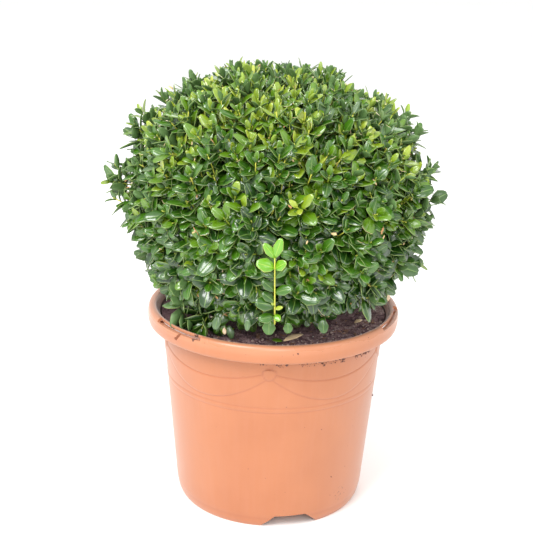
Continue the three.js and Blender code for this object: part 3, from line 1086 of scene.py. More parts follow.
def make_perlite():
    """White grains, 1 to 2 mm."""
    centres = scatter(PERLITE_COUNT, 84, SOIL_EDGE - 3) + [0, 0, 0.4]
    sizes = chance.uniform(0.4, 1.0, (PERLITE_COUNT, 3))
    axes = random_turns(PERLITE_COUNT, chance)
    finish = plain_finish("expanded_perlite", "#d9d2cc", 0.8)  # chalky white specks
    add_pebbles("perlite_grains", "soil", finish, centres, sizes, axes, chance)


make_chips()
make_perlite()

# %% [markdown]
# ## Spilt soil on the pot
#
# Soil was spilt when the pot was filled. It clings in clusters to the wall under the rim at the
# front, single specks of it sit on the rim and the wall, and in the left hand grip it has dried
# in the holes and at both ends, with a smear over the bar. The noise in the plastic stains the
# wall there, and these pebbles give it something that stands out and casts a shadow.

# %% Spilt soil under the rim
RIM_CRUMB_COUNT = 210
RIM_CRUMB_CLUSTERS = 30
RIM_SPECK_COUNT = 34
WALL_SPECK_COUNT = 34
WALL_SPECK_Z = (22, 200)


def make_rim_crumbs():
    """Clusters along the spill line, specks on the wall, and specks down the rim's roll."""
    clusters = SPILL["azimuth"] + chance.normal(0, 15, RIM_CRUMB_CLUSTERS)
    azimuth = chance.choice(clusters, RIM_CRUMB_COUNT) + chance.normal(0, 1.4, RIM_CRUMB_COUNT)
    z = spill_line(azimuth) + 0.6 - chance.gamma(1.5, 1.1, RIM_CRUMB_COUNT)
    size = chance.gamma(1.8, 0.2, RIM_CRUMB_COUNT) + 0.1
    speck_z = chance.uniform(*WALL_SPECK_Z, WALL_SPECK_COUNT)
    roll = chance.uniform(0, 1, RIM_SPECK_COUNT)
    specks = chance.normal(-62, 38, WALL_SPECK_COUNT + RIM_SPECK_COUNT)
    on_rim = RIM_RADIUS - RIM_TOP_INSET * roll ** 2
    radius = np.concatenate([wall_radius(z), wall_radius(speck_z), on_rim])
    z = np.concatenate([z, speck_z, POT_HEIGHT - 10 * (1 - roll) ** 2])
    size = np.concatenate([size, chance.gamma(2.5, 0.1, len(specks))])[:, None]
    centres = around(np.concatenate([azimuth, specks]), radius, z)
    sizes = size * chance.uniform(0.6, 1.4, (len(centres), 3))
    axes = random_turns(len(centres), chance)
    finish = plain_finish("dried_peat", "#6e4f48", 0.95)  # dull and dark on the plastic
    add_pebbles("rim_crumbs", "soil", finish, centres, sizes, axes, chance)


make_rim_crumbs()

# %% Dried soil in a grip
SOILED_GRIP_AZIMUTH = GRIP_AZIMUTH - 360 / GRIP_COUNT
LUMPS_PER_HOLE = 4
PLUG_ANGLES = [-17.2, -16.4, -15.6, 15.6, 16.4, 17.2]  # at both ends, from the grip's middle
PLUG_RADII = [141, 143, 145, 147]
SMEAR_AZIMUTH = -136.6
SMEAR_LEAN = 2.8
SMEAR_LUMPS = 30


def make_grip_dirt():
    """Lumps in the grip's holes and ends, and a smear that climbs over its bar."""
    holes = np.repeat(GRIP_HOLES_AWAY, LUMPS_PER_HOLE)
    ends = np.tile(PLUG_ANGLES, len(PLUG_RADII))
    count = len(holes) + len(ends)
    azimuth = SOILED_GRIP_AZIMUTH + np.concatenate([holes, ends])
    azimuth = azimuth + np.degrees(chance.normal(0, 0.004, count))
    in_holes = np.full(len(holes), sum(GRIP_HOLE) / 2)
    radius = np.concatenate([in_holes, np.repeat(PLUG_RADII, len(PLUG_ANGLES))])
    low = np.where(np.arange(count) < len(holes), GRIP_LEDGE[0], GRIP_LEDGE[1] - 1)
    lumps = around(azimuth, radius, low + chance.uniform(0.4, 1.8, count))
    sizes = chance.uniform(1.1, 1.7, (count, 3))
    climb = chance.uniform(0, 1, SMEAR_LUMPS)
    azimuth = SMEAR_AZIMUTH + SMEAR_LEAN * climb + chance.normal(0, 0.35, SMEAR_LUMPS)
    z = RIM_BULGE_Z - 1 + (GRIP_BAR_TOP - RIM_BULGE_Z + 1) * climb
    bulge = np.sqrt(1 - np.clip((z - RIM_BULGE_Z) / 10, 0, 1) ** 2)
    smear = around(azimuth, RIM_RADIUS - RIM_TOP_INSET * (1 - bulge), z)
    centres = np.concatenate([lumps, smear])
    sizes = np.concatenate([sizes, chance.uniform(0.6, 1.5, (SMEAR_LUMPS, 3))])
    axes = random_turns(len(centres), chance)
    finish = plain_finish("rusty_dried_peat", "#8a5238", 0.95)  # takes the clay's red
    add_pebbles("grip_dirt", "soil", finish, centres, sizes, axes, chance)


make_grip_dirt()

# %% [markdown]
# ## Growing the plant: the outline
#
# A clipped ball is a shell of short leafy shoots, carried by a fan of ever thinner branches from
# one short stem. It could be a hair system on a ball, but shears leave every shoot's end on one
# outline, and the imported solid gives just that. So shoots are planned from the outside in: each
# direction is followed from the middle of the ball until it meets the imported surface.

# %% From the middle to the outline
EQUATOR_SHARE = 0.47
TINY = 1e-9
EDGE_SLACK = 1e-6

crown_middle = (CROWN_LOW + CROWN_HIGH) / 2
crown_middle[2] = CROWN_LOW[2] + EQUATOR_SHARE * (CROWN_HIGH - CROWN_LOW)[2]


def outline_triangles():
    """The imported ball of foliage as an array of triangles' corners, in mm."""
    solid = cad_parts["foliage_ball"].data
    solid.calc_loop_triangles()
    corners = np.empty(3 * len(solid.loop_triangles), np.int32)
    solid.loop_triangles.foreach_get("vertices", corners)
    return points_of(solid)[corners].reshape(-1, 3, 3)


def reach_outline(start, directions, triangles):
    """How far each direction goes to the furthest triangle it meets.

    A place on a triangle is corner + b * edge_b + c * edge_c, with b, c and b + c in 0 to 1."""
    corner = triangles[:, 0]
    edge_b = triangles[:, 1] - corner
    edge_c = triangles[:, 2] - corner
    from_corner = start - corner
    cross_c = np.cross(directions[:, None], edge_c[None])
    scale = (cross_c * edge_b).sum(-1)
    scale = np.where(np.abs(scale) < TINY, TINY, scale)
    share_b = (cross_c * from_corner).sum(-1) / scale
    cross_b = np.cross(from_corner, edge_b)
    share_c = (cross_b[None] * directions[:, None]).sum(-1) / scale
    far = (cross_b * edge_c).sum(-1)[None] / scale
    inside = (share_b >= -EDGE_SLACK) & (share_c >= -EDGE_SLACK)
    hit = inside & (share_b + share_c <= 1 + EDGE_SLACK) & (far > 0)
    return np.where(hit, far, 0).max(axis=1)


def from_angles(azimuth, elevation):
    """Unit vectors (cos e cos a, cos e sin a, sin e) from azimuth and elevation in degrees."""
    lift = np.radians(elevation)
    return around(azimuth, np.cos(lift), np.sin(lift))


outline = outline_triangles()
print("middle of the ball:", crown_middle.round(), "triangles round it:", len(outline))

# %% [markdown]
# ## Growing the plant: where the shoots end
#
# Directions are spread evenly over a sphere by the golden angle and shaken a little. No ball is
# cut perfectly, so a few sprays stand proud, some places are drawn in, and the skirt is lifted
# where soil shows under it. The bright shoot at the front keeps its room.

# %% Shoot ends on the outline
SPRAY_DIRECTIONS = 1480
GOLDEN_ANGLE = math.pi * (3 - math.sqrt(5))
SHAKE = 0.22
# azimuth and elevation from the middle in degrees, and how many mm the tip stands out
PROUD_SPRAYS = [
    (180, 32, 5), (180, 27, 3), (176, 23, 1), (178, 10, 3), (181, 5, 2), (183, -1, 3),
    (-3, 27, 1), (1, 12, 2), (-5, 2, 1), (-7, -22, 4),
    (-145, -46, 3), (-138, -46, 5), (-130, -47, 4),
]
# azimuth and elevation, how far the dent spreads in degrees, and its depth in mm
DRAWN_IN = [
    (180, 19, 6, 9), (180, 40, 7, 12), (170, 34, 6, 8), (-170, 34, 6, 8),
    (181, -16, 9, 24), (164, -16, 9, 18), (-163, -16, 9, 18),
    (-2, -32, 10, 9), (0, -8, 7, 7), (0, -20, 6, 9), (180, 68, 8, 3), (0, 72, 9, 6),
]
# azimuth, how far the lifted stretch spreads in degrees, and how many mm higher it ends
LIFTED_SKIRT = [(-32, 22, 28), (4, 15, 31), (-140, 12, 3), (-176, 16, 13)]
CLEAR_OF_SOIL = 12
BRIGHT_SHOOT = np.array([[1.0, -157.0, 272.0], [-1.0, -181.0, 351.0]])
BRIGHT_SHOOT_ROOM = 17
print("directions:", SPRAY_DIRECTIONS + len(PROUD_SPRAYS), "dents:", len(DRAWN_IN))

# %% Directions cast on the outline
growth = np.random.default_rng(1206)


def away_from_line(points, line):
    """Distance from points to a straight stretch between two places."""
    run = line[1] - line[0]
    share = np.clip((points - line[0]) @ run / (run @ run), 0, 1)
    return np.linalg.norm(points - line[0] - share[:, None] * run, axis=1)


def plan_directions():
    """Even directions, their height falling from 1 to -1 in steps, and the proud ones."""
    order = np.arange(SPRAY_DIRECTIONS) + 0.5
    up = 1 - 2 * order / SPRAY_DIRECTIONS
    turn = GOLDEN_ANGLE * order
    level = np.sqrt(1 - up ** 2)
    even = np.stack([level * np.cos(turn), level * np.sin(turn), up], axis=1)
    spacing = math.sqrt(4 * math.pi / SPRAY_DIRECTIONS)
    even = unit(even + growth.normal(0, SHAKE * spacing, even.shape))
    azimuth, elevation, beyond = np.array(PROUD_SPRAYS, float).T
    directions = np.concatenate([even, from_angles(azimuth, elevation)])
    return directions, np.concatenate([np.zeros(len(even)), beyond])


def plan_ends():
    """The directions cast on the outline, less dents of depth * exp(-(angle / spread)^2).

    Those that come too near the soil or the bright shoot are left out."""
    directions, beyond = plan_directions()
    far = reach_outline(crown_middle, directions, outline)
    surface = crown_middle + far[:, None] * directions
    for azimuth, elevation, spread, deep in DRAWN_IN:
        cosine = np.clip(directions @ from_angles(azimuth, elevation), -1, 1)
        dent = deep * groove(np.degrees(np.arccos(cosine)), spread)
        surface = surface - dent[:, None] * directions
    side = np.degrees(np.arctan2(surface[:, 1], surface[:, 0]))
    lowest = SOIL_TOP + CLEAR_OF_SOIL
    for azimuth, spread, by in LIFTED_SKIRT:
        lowest = lowest + by * groove(turn_from(azimuth, side), spread)
    kept = surface[:, 2] > lowest
    kept &= away_from_line(surface, BRIGHT_SHOOT) > BRIGHT_SHOOT_ROOM
    return surface[kept], directions[kept], beyond[kept]


surface, outward, proud = plan_ends()
print("shoots:", len(surface))

# %% [markdown]
# ## Growing the plant: the shoots
#
# Box shoots turn up to the light: on the flanks they leave sideways and bend upwards, on top
# they stand upright. Low down they spread level or hang a little over the soil. Each shoot is a
# cubic curve, four to five centimetres long, that ends a little inside the outline, so that its
# leaves reach it. How far inside varies by noise, which gives the ball its dark hollows.

# %% Shoots
STRAY_SHARE = 0.035
LEAF_REACH = 17
HOLLOW_SIZE = 27
HOLLOW_DEPTH = 8
SKIRT_DEPTH = 9
UP = np.array([0, 0, 1.0])
height_share = (surface[:, 2] - SOIL_TOP) / (CROWN_HIGH[2] - SOIL_TOP)
spray_count = len(surface)


def plan_insets():
    """How far inside the outline each tip ends: chance, hollows by noise, more at the skirt.

    A few strays on the flanks stand out, and the proud sprays as far as they were told."""
    inset = LEAF_REACH * growth.uniform(0.5, 1.8, (spray_count, 1))
    inset += HOLLOW_DEPTH * noise(surface, HOLLOW_SIZE, 12)[:, None]
    inset += SKIRT_DEPTH * np.clip(1 - height_share / 0.2, 0, 1)[:, None]
    flank = (height_share > 0.25) & (height_share < 0.85)
    stray = (growth.uniform(size=(spray_count, 1)) < STRAY_SHARE) & flank[:, None]
    inset = np.where(stray, growth.uniform(-1, 6, inset.shape), inset)
    return np.where(proud[:, None] > 0, -proud[:, None], inset)


def plan_shoots():
    """Start, end, heading and arrival of every shoot: outward blended with up, and shaken."""
    lift = np.interp(height_share, [0, 0.15, 0.4, 1], [-0.05, 0.2, 0.55, 0.8])[:, None]
    arrival = unit(outward + lift * UP + growth.normal(0, 0.33, outward.shape))
    heading = unit(outward + 0.35 * lift * UP + growth.normal(0, 0.2, outward.shape))
    tips = surface - plan_insets() * outward
    length = growth.uniform(38, 54, (spray_count, 1))
    return tips - length * unit(arrival + heading), tips, heading, arrival


shoot_starts, shoot_tips, shoot_headings, shoot_arrivals = plan_shoots()
shoot_curves = curve_between(shoot_starts, shoot_tips, shoot_headings, shoot_arrivals)
print("shoots on the flanks and below:", int((height_share < 0.85).sum()))

# %% [markdown]
# ## Growing the plant: boughs and twigs
#
# The branches are the shortest tidy way from one stem to all shoots. The rule is recursive: a
# limb that has to feed a set of shoots grows a share of the way to their middle, forks, and each
# branch takes about half of the shoots, parted along the direction in which they spread most.
# With n shoots left the share is 1 / (1 + 0.8 log2 n), which spaces the forks evenly. Its radius
# follows n ** 0.36, so thick limbs carry many shoots, as in real shrubs.

# %% Branching rule
FORKS_AT_STEM = 3  # two to the third: eight boughs
TWIG_RADIUS = 0.85
PIPE_POWER = 0.36
STEM_LEAN = 0.06


def parted(points):
    """Two index arrays, parted at a random share of the widest spread of the points."""
    centred = points - points.mean(axis=0)
    widest = np.linalg.svd(centred, full_matrices=False)[2][0]
    order = np.argsort(centred @ widest)
    at = int(np.clip(round(len(order) * growth.uniform(0.38, 0.62)), 1, len(order) - 1))
    return order[:at], order[at:]


def on_stem(z):
    """The stem's middle at a height: it leans a little towards +X."""
    return np.array([STEM_LEAN * (z - SOIL_TOP), 0, z])


print("middle of the stem at its top:", on_stem(STEM_HIGH[2]).round(1))

# %% All limbs


def branch_out():
    """Follows the rule from the stem to every shoot; rows of start, heading, arrival, end, n."""
    limbs = []
    sets = [np.arange(spray_count)]
    for _ in range(FORKS_AT_STEM):
        sets = [members[half] for members in sets for half in parted(shoot_starts[members])]
    sets.sort(key=lambda members: shoot_starts[members][:, 2].mean())
    heights = np.linspace(SOIL_TOP + 16, STEM_HIGH[2] - 5, len(sets))
    pending = [(members, on_stem(z), None) for members, z in zip(sets, heights)]
    while pending:
        members, start, before = pending.pop()
        middle = shoot_starts[members].mean(axis=0)
        towards = unit(middle - start)
        before = towards if before is None else before
        heading = unit(0.55 * before + towards)
        if len(members) == 1:
            limbs.append((start, heading, shoot_headings[members[0]], middle, 1))
            continue
        share = 1 / (1 + 0.8 * math.log2(len(members)))
        end = start + share * (middle - start) + growth.normal(0, 1.5, 3)
        arrival = unit(towards + growth.normal(0, 0.12, 3))
        limbs.append((start, heading, arrival, end, len(members)))
        pending += [(members[half], end, arrival) for half in parted(shoot_starts[members])]
    return limbs


limbs = branch_out()
limb_starts, limb_headings, limb_arrivals, limb_ends, limb_feeds = (
    np.array(values) for values in zip(*limbs)
)
limb_curves = curve_between(limb_starts, limb_ends, limb_headings, limb_arrivals)
limb_radii = TWIG_RADIUS * limb_feeds ** PIPE_POWER
print("limbs:", len(limbs), "thickest radius in mm:", round(limb_radii.max(), 1))

# %% [markdown]
# ## Finish: box bark
#
# Old box wood has a thin grey-brown bark, cracked into small corky plates along the limb. Twigs
# of last year are smoother and olive. Both are noise drawn out along Z, which picks the colour
# and lifts the bump, with its scale set by the plates' width.

# %% Bark finishes
PLATE_STRETCH = 4


def bark_finish(name, colours, plate_mm, deep_mm):
    """Corky bark: matt, with plates four times as long as they are wide."""
    material, tree, shader = new_finish(name, {"Roughness": 0.85, "IOR": 1.45})
    place = add(tree, "TexCoord", out="Object")
    stretch = (per(plate_mm), per(plate_mm), per(PLATE_STRETCH * plate_mm))
    drawn = add(tree, "Mapping", {"Vector": place, "Scale": stretch})
    plates = add(tree, "TexNoise", {"Vector": drawn, "Scale": 1.0, "Detail": 6.0})
    colour = add(tree, "ValToRGB", {"Fac": plates}, zip((0.36, 0.52, 0.68), colours))
    bump = add(tree, "Bump", {"Height": plates, "Strength": 0.8, "Distance": deep_mm * MM})
    plug(tree, shader, {"Base Color": colour, "Normal": bump})
    return material


OLD_BARK = bark_finish("corky_box_bark", ["#4b3f30", "#857457", "#b3a583"], 2.4, 0.8)
TWIG_BARK = bark_finish("young_box_bark", ["#565a2c", "#858a3f", "#a8a860"], 1.6, 0.3)
print("bark:", OLD_BARK.name, TWIG_BARK.name)

# %% [markdown]
# ## Stem, boughs, twigs and green shoots
#
# The stem is a turned surface with furrows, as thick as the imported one. Limbs are tubes along
# their curves: those that carry more than a dozen shoots are rounder and have a relief of bark
# plates, and the thin ones need only four sides. This year's shoots are green or yellow green
# and glossier. They are hidden but for the gaps between the leaves, where wood has to show.

# %% Stem
STEM_COLUMNS = 72
STEM_RADIUS = 12
STEM_TAPER = 3
ROOT_FLARE = 7
FURROW_DEPTH = 1.1
FURROW_MM = 3.2


def make_stem():
    """Radius 12 - 3 * share of the height + 7 * exp(-z / 7), less furrows, which run up it."""
    z = STEM_LOW[2] + np.append(np.linspace(0, 76, 56), STEM_HIGH[2] - STEM_LOW[2])
    share = (z - z[0]) / (z[-1] - z[0])
    radius = STEM_RADIUS - STEM_TAPER * share + ROOT_FLARE * np.exp(-(z - z[0]) / ROOT_FLARE)
    outline = np.concatenate([[0], radius, [0]])
    height = np.concatenate([[z[0]], z, [z[-1]]])
    azimuths = np.arange(STEM_COLUMNS) * 360 / STEM_COLUMNS
    rings = around(azimuths, STEM_RADIUS, height[:, None] / 6)
    furrows = np.abs(noise(rings.reshape(-1, 3), FURROW_MM, 3)).reshape(len(height), -1)
    radius = outline[:, None] - FURROW_DEPTH * (1 - furrows) * (outline[:, None] > 0)
    points, faces = turned(radius, height[:, None], azimuths)
    points[:, 0] += STEM_LEAN * (points[:, 2] - SOIL_TOP)
    add_piece("stem_bark", mesh_of("stem", points, faces, [OLD_BARK]), "stem")


make_stem()

# %% Boughs and twigs
BOUGH_FEEDS = 12
LIMB_TAPER = 0.92


def bark_relief(points):
    """Bark plates about 2 mm across and 6 mm long, 0.35 mm high."""
    return 0.35 * noise(points * [1, 1, 0.4], 2.4, 5)


def make_limbs(name, members, finish, sides, spans, swell=None):
    """The chosen limbs as tubes, each a little thinner at its end than at its start."""
    radii = limb_radii[members]
    points, faces = tubes(limb_curves[members], radii, LIMB_TAPER * radii, sides, spans, swell)
    add_piece(name, mesh_of(name, points, faces, [finish]), "foliage_ball")


make_limbs("boughs", limb_feeds > BOUGH_FEEDS, OLD_BARK, 10, 9, bark_relief)
make_limbs("woody_twigs", limb_feeds <= BOUGH_FEEDS, TWIG_BARK, 4, 3)

# %% Green shoots
SHOOT_RADIUS = 1.0
SHOOT_TIP_RADIUS = 0.7
SHOOT_SIDES = 5
SHOOT_SPANS = 4


def make_shoots():
    """This year's shoots, thinner to the tip, with the bright one and the limb that bears it."""
    root, tip = BRIGHT_SHOOT[:1], BRIGHT_SHOOT[1:]
    inner = crown_middle + 0.55 * (root - crown_middle)
    bearer = curve_between(inner, root, None, unit(tip - root))
    curves = np.concatenate([shoot_curves, bearer, curve_between(root, tip)])
    first, last = (np.full(len(curves), radius) for radius in (SHOOT_RADIUS, SHOOT_TIP_RADIUS))
    points, faces = tubes(curves, first, last, SHOOT_SIDES, SHOOT_SPANS)
    finishes = [
        plain_finish("green_shoot", "#a3b43a", 0.5),
        plain_finish("yellow_shoot", "#cbcb50", 0.5),
    ]
    deal = growth.integers(0, 2, len(curves))
    finish = np.concatenate([np.repeat(deal, SHOOT_SIDES * SHOOT_SPANS), np.tile(deal, 2)])
    add_piece("green_shoots", mesh_of("shoots", points, faces, finishes, finish), "foliage_ball")


make_shoots()

# %% [markdown]
# ## The leaf
#
# A box leaf is a small leathery oval, widest a little past the middle, with a blunt or notched
# tip. Its upper side is dark, glossy and slightly domed, with a sunk pale midrib and a thin pale
# edge that turns down. The underside is paler and matt. Each leaf here is a closed shell of a few
# dozen faces in that outline: rows of points from base to tip, six across the top and one more
# under the midrib. All leaves are worked out together, each with its own length, width, fold,
# arch and twist, so that no two catch the light alike.

# %% Leaf outline
BLUNT_BASE = 0.13
BLUNT_TIP = 0.30


def leaf_width(t):
    """Half width along a leaf, 0 to 1: (sin(pi t^1.15))^0.6, with a narrow base and blunt tip."""
    oval = np.abs(np.sin(np.pi * np.clip(t, 0, 1) ** 1.15)) ** 0.6
    return np.maximum(oval, np.where(t < 0.5, BLUNT_BASE, BLUNT_TIP))


print("half width at quarter, half and tip:", leaf_width(np.array([0.25, 0.5, 1])).round(2))

# %% Leaf surface
TOP_COLUMNS = np.array([-1, -0.945, -0.05, 0.05, 0.945, 1])  # edge, blade, midrib, blade, edge
TOP_HEIGHTS = np.array([-0.10, 0.01, -0.05, -0.05, 0.01, -0.10])
LEAF_THICKNESS = 0.35
BELLY = 0.07


def leaf_points(leaf, stations):
    """Points of all leaves, row by row. The midrib is an arc along the leaf, `arch` radians in
    all, that starts half the arch above the leaf's direction and ends half below. Each half of
    the blade rises by `fold` radians, and the blade is twisted about its length by `twist`."""
    arch, length, width, twist, fold = (
        leaf[key][:, None] for key in ("arch", "length", "width", "twist", "fold")
    )
    along, normal = leaf["along"][:, None], leaf["normal"][:, None]
    t = stations * leaf["cut"][:, None]
    pitch = arch * (0.5 - t)
    far = length / arch * (np.sin(arch / 2) - np.sin(pitch))
    high = length / arch * (np.cos(pitch) - np.cos(arch / 2))
    spine = leaf["base"][:, None] + far[..., None] * along + high[..., None] * normal
    facing = np.cos(pitch)[..., None] * normal - np.sin(pitch)[..., None] * along
    across = np.cross(along, normal)
    turn = (twist * (t - 0.5))[..., None]
    side = np.cos(turn) * across + np.sin(turn) * facing
    facing = np.cos(turn) * facing - np.sin(turn) * across
    half = (width / 2 * leaf_width(t))[..., None]
    out = half * TOP_COLUMNS * np.cos(fold[..., None])
    lift = half * (np.abs(TOP_COLUMNS) * np.sin(fold[..., None]) + TOP_HEIGHTS)
    top = spine[:, :, None] + out[..., None] * side[:, :, None]
    top = top + lift[..., None] * facing[:, :, None]
    under = spine - (BELLY * half + LEAF_THICKNESS) * facing
    return np.concatenate([top, under[:, :, None]], axis=2)


print("points across a leaf:", len(TOP_COLUMNS) + 1)

# %% Leaf faces


def leaf_faces(rows):
    """One leaf's faces: top quads row by row, underside quads, and a cap at each end."""
    wide = len(TOP_COLUMNS) + 1
    row = wide * np.arange(rows - 1)[:, None]
    column = np.arange(len(TOP_COLUMNS) - 1)
    near = row + column
    top = np.stack([near, near + 1, near + wide + 1, near + wide], axis=-1).reshape(-1, 4)
    left = row[:, 0]
    right = left + wide - 2
    low = left + wide - 1
    under = np.concatenate([
        np.stack([left, left + wide, low + wide, low], axis=1),
        np.stack([low, low + wide, right + wide, right], axis=1),
    ])
    base = np.array([[0, wide - 1, *range(wide - 2, 0, -1)]])
    tip = wide * (rows - 1) + np.arange(wide)[None]
    return top, under, base, tip


print("faces of one leaf:", sum(len(faces) for faces in leaf_faces(5)))

# %% [markdown]
# ## Leaf colours, dealt out by spray
#
# Leaves keep one plain colour each, because a pattern would only blur on something this small.
# The life comes from dealing tones out by spray: a shoot that had more light is fresher, one low
# down is greyer with dust, and the youngest pair on a shoot is a step lighter than the rest. Box
# leaves are waxy, so the upper side has a low roughness and a thin coat, which gives the broad
# pale highlights. The underside is paler and duller, the midrib is pale, and the edge is pale
# partly as a painted highlight. Fresh undersides are brightened as a painted glow of light
# through the leaf, and dry leaves are drawn paler as painted light.

# %% Leaf finishes
WAX = {"IOR": 1.5, "Coat Weight": 0.6, "Coat Roughness": 0.16, "Coat IOR": 1.65}
TONES = {
    "deep_green": "#1b400a",
    "dark_green": "#2d5709",
    "box_green": "#3a690a",
    "mid_green": "#58800c",
    "light_green": "#809a1c",
    "fresh_green": "#9eb032",
    "yellow_green": "#b4bd46",
    "dusty_green": "#4c6a3e",
    "lime_green": "#69a413",
    "bronze": "#8a6a35",
    # painted light: the dry leaf is drawn paler than a dry box leaf, to stand in for light on it
    "dry_leaf_with_painted_light": "#ffdeb4",
}
TONE_NUMBER = {name: number for number, name in enumerate(TONES)}
FRESH_TONES = [TONE_NUMBER[name] for name in ("fresh_green", "yellow_green", "lime_green")]
LEAF_FINISHES = [
    plain_finish(f"waxy_leaf_{name}", colour, 0.5 if name == "dusty_green" else 0.32, WAX)
    for name, colour in TONES.items()
]
# edges: pale, with painted highlight; midribs pale; undersides paler, fresh ones painted glow
DARK_EDGE_AND_HIGHLIGHT, FRESH_EDGE_AND_HIGHLIGHT, DARK_UNDERSIDE, FRESH_UNDERSIDE_AND_GLOW, DRY_EDGE, MIDRIB = range(
    len(TONES), len(TONES) + 6
)
LEAF_FINISHES += [
    plain_finish("pale_leaf_edge_and_highlight", "#839855", 0.4),
    plain_finish("fresh_leaf_edge_and_highlight", "#c3c868", 0.4),
    plain_finish("leaf_underside", "#5f7f49", 0.5),
    # young leaves' pale underside, brightened as a painted glow of light through the leaf; also
    # their midrib
    plain_finish("fresh_leaf_underside_and_glow", "#9db84c", 0.5),
    plain_finish("dry_cut_edge", "#d6bc92", 0.75),
    plain_finish("leaf_midrib", "#6f9040", 0.4, WAX),
]
print("leaf finishes:", len(LEAF_FINISHES))

# %% Leaves as one mesh


def leaf_mesh(name, leaf, stations):
    """All leaves as one mesh: edge, blade, midrib, blade, edge across the top of every leaf.

    A dry leaf is dry on all sides, and a clipped one has a dry edge at its tip."""
    points = leaf_points(leaf, stations)
    count, rows, wide = points.shape[:3]
    fresh = np.isin(leaf["tone"], FRESH_TONES)
    dry = leaf["tone"] == TONE_NUMBER["dry_leaf_with_painted_light"]
    edge, below, midrib = (
        np.where(dry, DRY_EDGE, np.where(fresh, when_fresh, otherwise))
        for when_fresh, otherwise in (
            (FRESH_EDGE_AND_HIGHLIGHT, DARK_EDGE_AND_HIGHLIGHT), (FRESH_UNDERSIDE_AND_GLOW, DARK_UNDERSIDE), (FRESH_UNDERSIDE_AND_GLOW, MIDRIB),
        )
    )
    first = (rows * wide * np.arange(count))[:, None, None]
    face_sets = [(first + faces).reshape(-1, faces.shape[1]) for faces in leaf_faces(rows)]
    across = np.stack([edge, leaf["tone"], midrib, leaf["tone"], edge], axis=1)
    top = np.repeat(across[:, None], rows - 1, axis=1)
    tip = np.where(leaf["cut"] < 0.99, DRY_EDGE, edge)
    finish = np.concatenate([top.ravel(), np.repeat(below, 2 * rows - 2), edge, tip])
    return mesh_of(name, points.reshape(-1, 3), face_sets, LEAF_FINISHES, finish)


print("numbers of the edge, underside and midrib:", DARK_EDGE_AND_HIGHLIGHT, DARK_UNDERSIDE, MIDRIB)

# %% [markdown]
# ## Leaves on the shoots
#
# Box leaves stand in pairs, each pair square to the one before, close together at the tip and
# further apart down the shoot. The youngest pair is small and hugs the tip, and older ones open
# out until they stand nearly square to the shoot. A leaf then turns its face towards the light,
# outward and up. Low leaves are larger and rounder. A few were caught by the shears and end in
# a straight dry edge.

# %% Tones for the sprays
TONE_STEPS = [0.15, 0.7, 1.25, 1.85, 2.5, 3.2]
SHOULDER = [0.5, 0.72]  # below it no spray is lighter than mid green, above it all tones come


def deal_tones():
    """A tone for each spray: numbers that rise with height and light, cut into steps."""
    patchy = noise(surface, 38, 9) + 0.6 * noise(surface, 15, 10)
    light = 1.8 * height_share + 0.55 * patchy + growth.normal(0, 0.55, spray_count)
    lightest = np.interp(height_share, SHOULDER, [TONE_NUMBER["mid_green"], len(TONE_STEPS)])
    tone = np.minimum(np.digitize(light, TONE_STEPS), lightest.astype(int))
    dusty_share = np.interp(height_share, [0, 0.22, 0.5], [0.2, 0.06, 0.01])
    dusty = growth.uniform(size=spray_count) < dusty_share
    return np.where(dusty, TONE_NUMBER["dusty_green"], tone)


spray_tone = deal_tones()
print("sprays of each tone:", np.bincount(spray_tone).tolist())

# %% Leaves in pairs
PAIR_DISTANCE = np.array([0.8, 6.0, 13.5, 22.0, 32.0])  # mm below the tip
PAIR_OPENING = np.array([24, 40, 52, 60, 66])  # degrees from the shoot
PAIR_SIZE = np.array([0.60, 0.88, 1.02, 1.0, 0.9])
LEAF_LENGTH = 21
LEAF_SHAPE = (spray_count, len(PAIR_DISTANCE), 2)
pair = np.arange(len(PAIR_DISTANCE))[:, None]


def by_height(heights, values):
    """A value for each spray that follows its share of the height, shaped for its leaves."""
    return np.interp(height_share, heights, values)[:, None, None]


def leaf_directions():
    """Base, direction and facing of all leaves: cos(opening) * shoot + sin(opening) * side.

    Each pair is square to the one before. A face looks along the shoot and at the light."""
    length = np.linalg.norm(shoot_tips - shoot_starts, axis=1)[:, None]
    t = 1 - PAIR_DISTANCE * growth.uniform(0.8, 1.2, LEAF_SHAPE[:2]) / length
    places, ahead = on_curve(shoot_curves, t)
    across = side_of(ahead)
    beside = np.cross(ahead, across)
    places, ahead, across, beside = (each[:, :, None] for each in (places, ahead, across, beside))
    turn = growth.uniform(0, np.pi, (spray_count, 1, 1)) + np.pi / 2 * pair
    turn = (turn + [0, np.pi] + growth.normal(0, 0.18, LEAF_SHAPE))[..., None]
    side = np.cos(turn) * across + np.sin(turn) * beside
    wider = by_height([0, 0.55, 0.85, 1], [1.25, 1.25, 0.95, 0.85])
    opening = PAIR_OPENING[:, None] * wider + growth.normal(0, 9, LEAF_SHAPE)
    opening = np.radians(opening)[..., None]
    low = np.clip(1 - height_share / 0.4, 0, 1)[:, None, None, None]
    direction = unit(np.cos(opening) * ahead + np.sin(opening) * side - 0.12 * low * UP)
    light = unit(outward + 0.75 * UP)[:, None, None]
    facing = np.sin(opening) * ahead - np.cos(opening) * side + (0.7 + 0.7 * low) * light
    facing = unit(facing - (facing * direction).sum(-1, keepdims=True) * direction)
    return places + 0.8 * side, direction, facing


def leaf_sizes():
    """Length and width: the pair's size, larger and rounder low down, each a little shaken."""
    size = PAIR_SIZE[:, None] * by_height([0, 0.3, 1], [1.16, 1.17, 0.98])
    size = size * np.clip(growth.normal(1, 0.13, LEAF_SHAPE), 0.6, 1.35)
    slim = by_height([0, 0.3, 0.7, 1], [0.74, 0.66, 0.54, 0.42])
    slim = slim + growth.normal(0, 0.045, LEAF_SHAPE)
    return LEAF_LENGTH * size, LEAF_LENGTH * size * slim


print("leaves planned:", math.prod(LEAF_SHAPE))

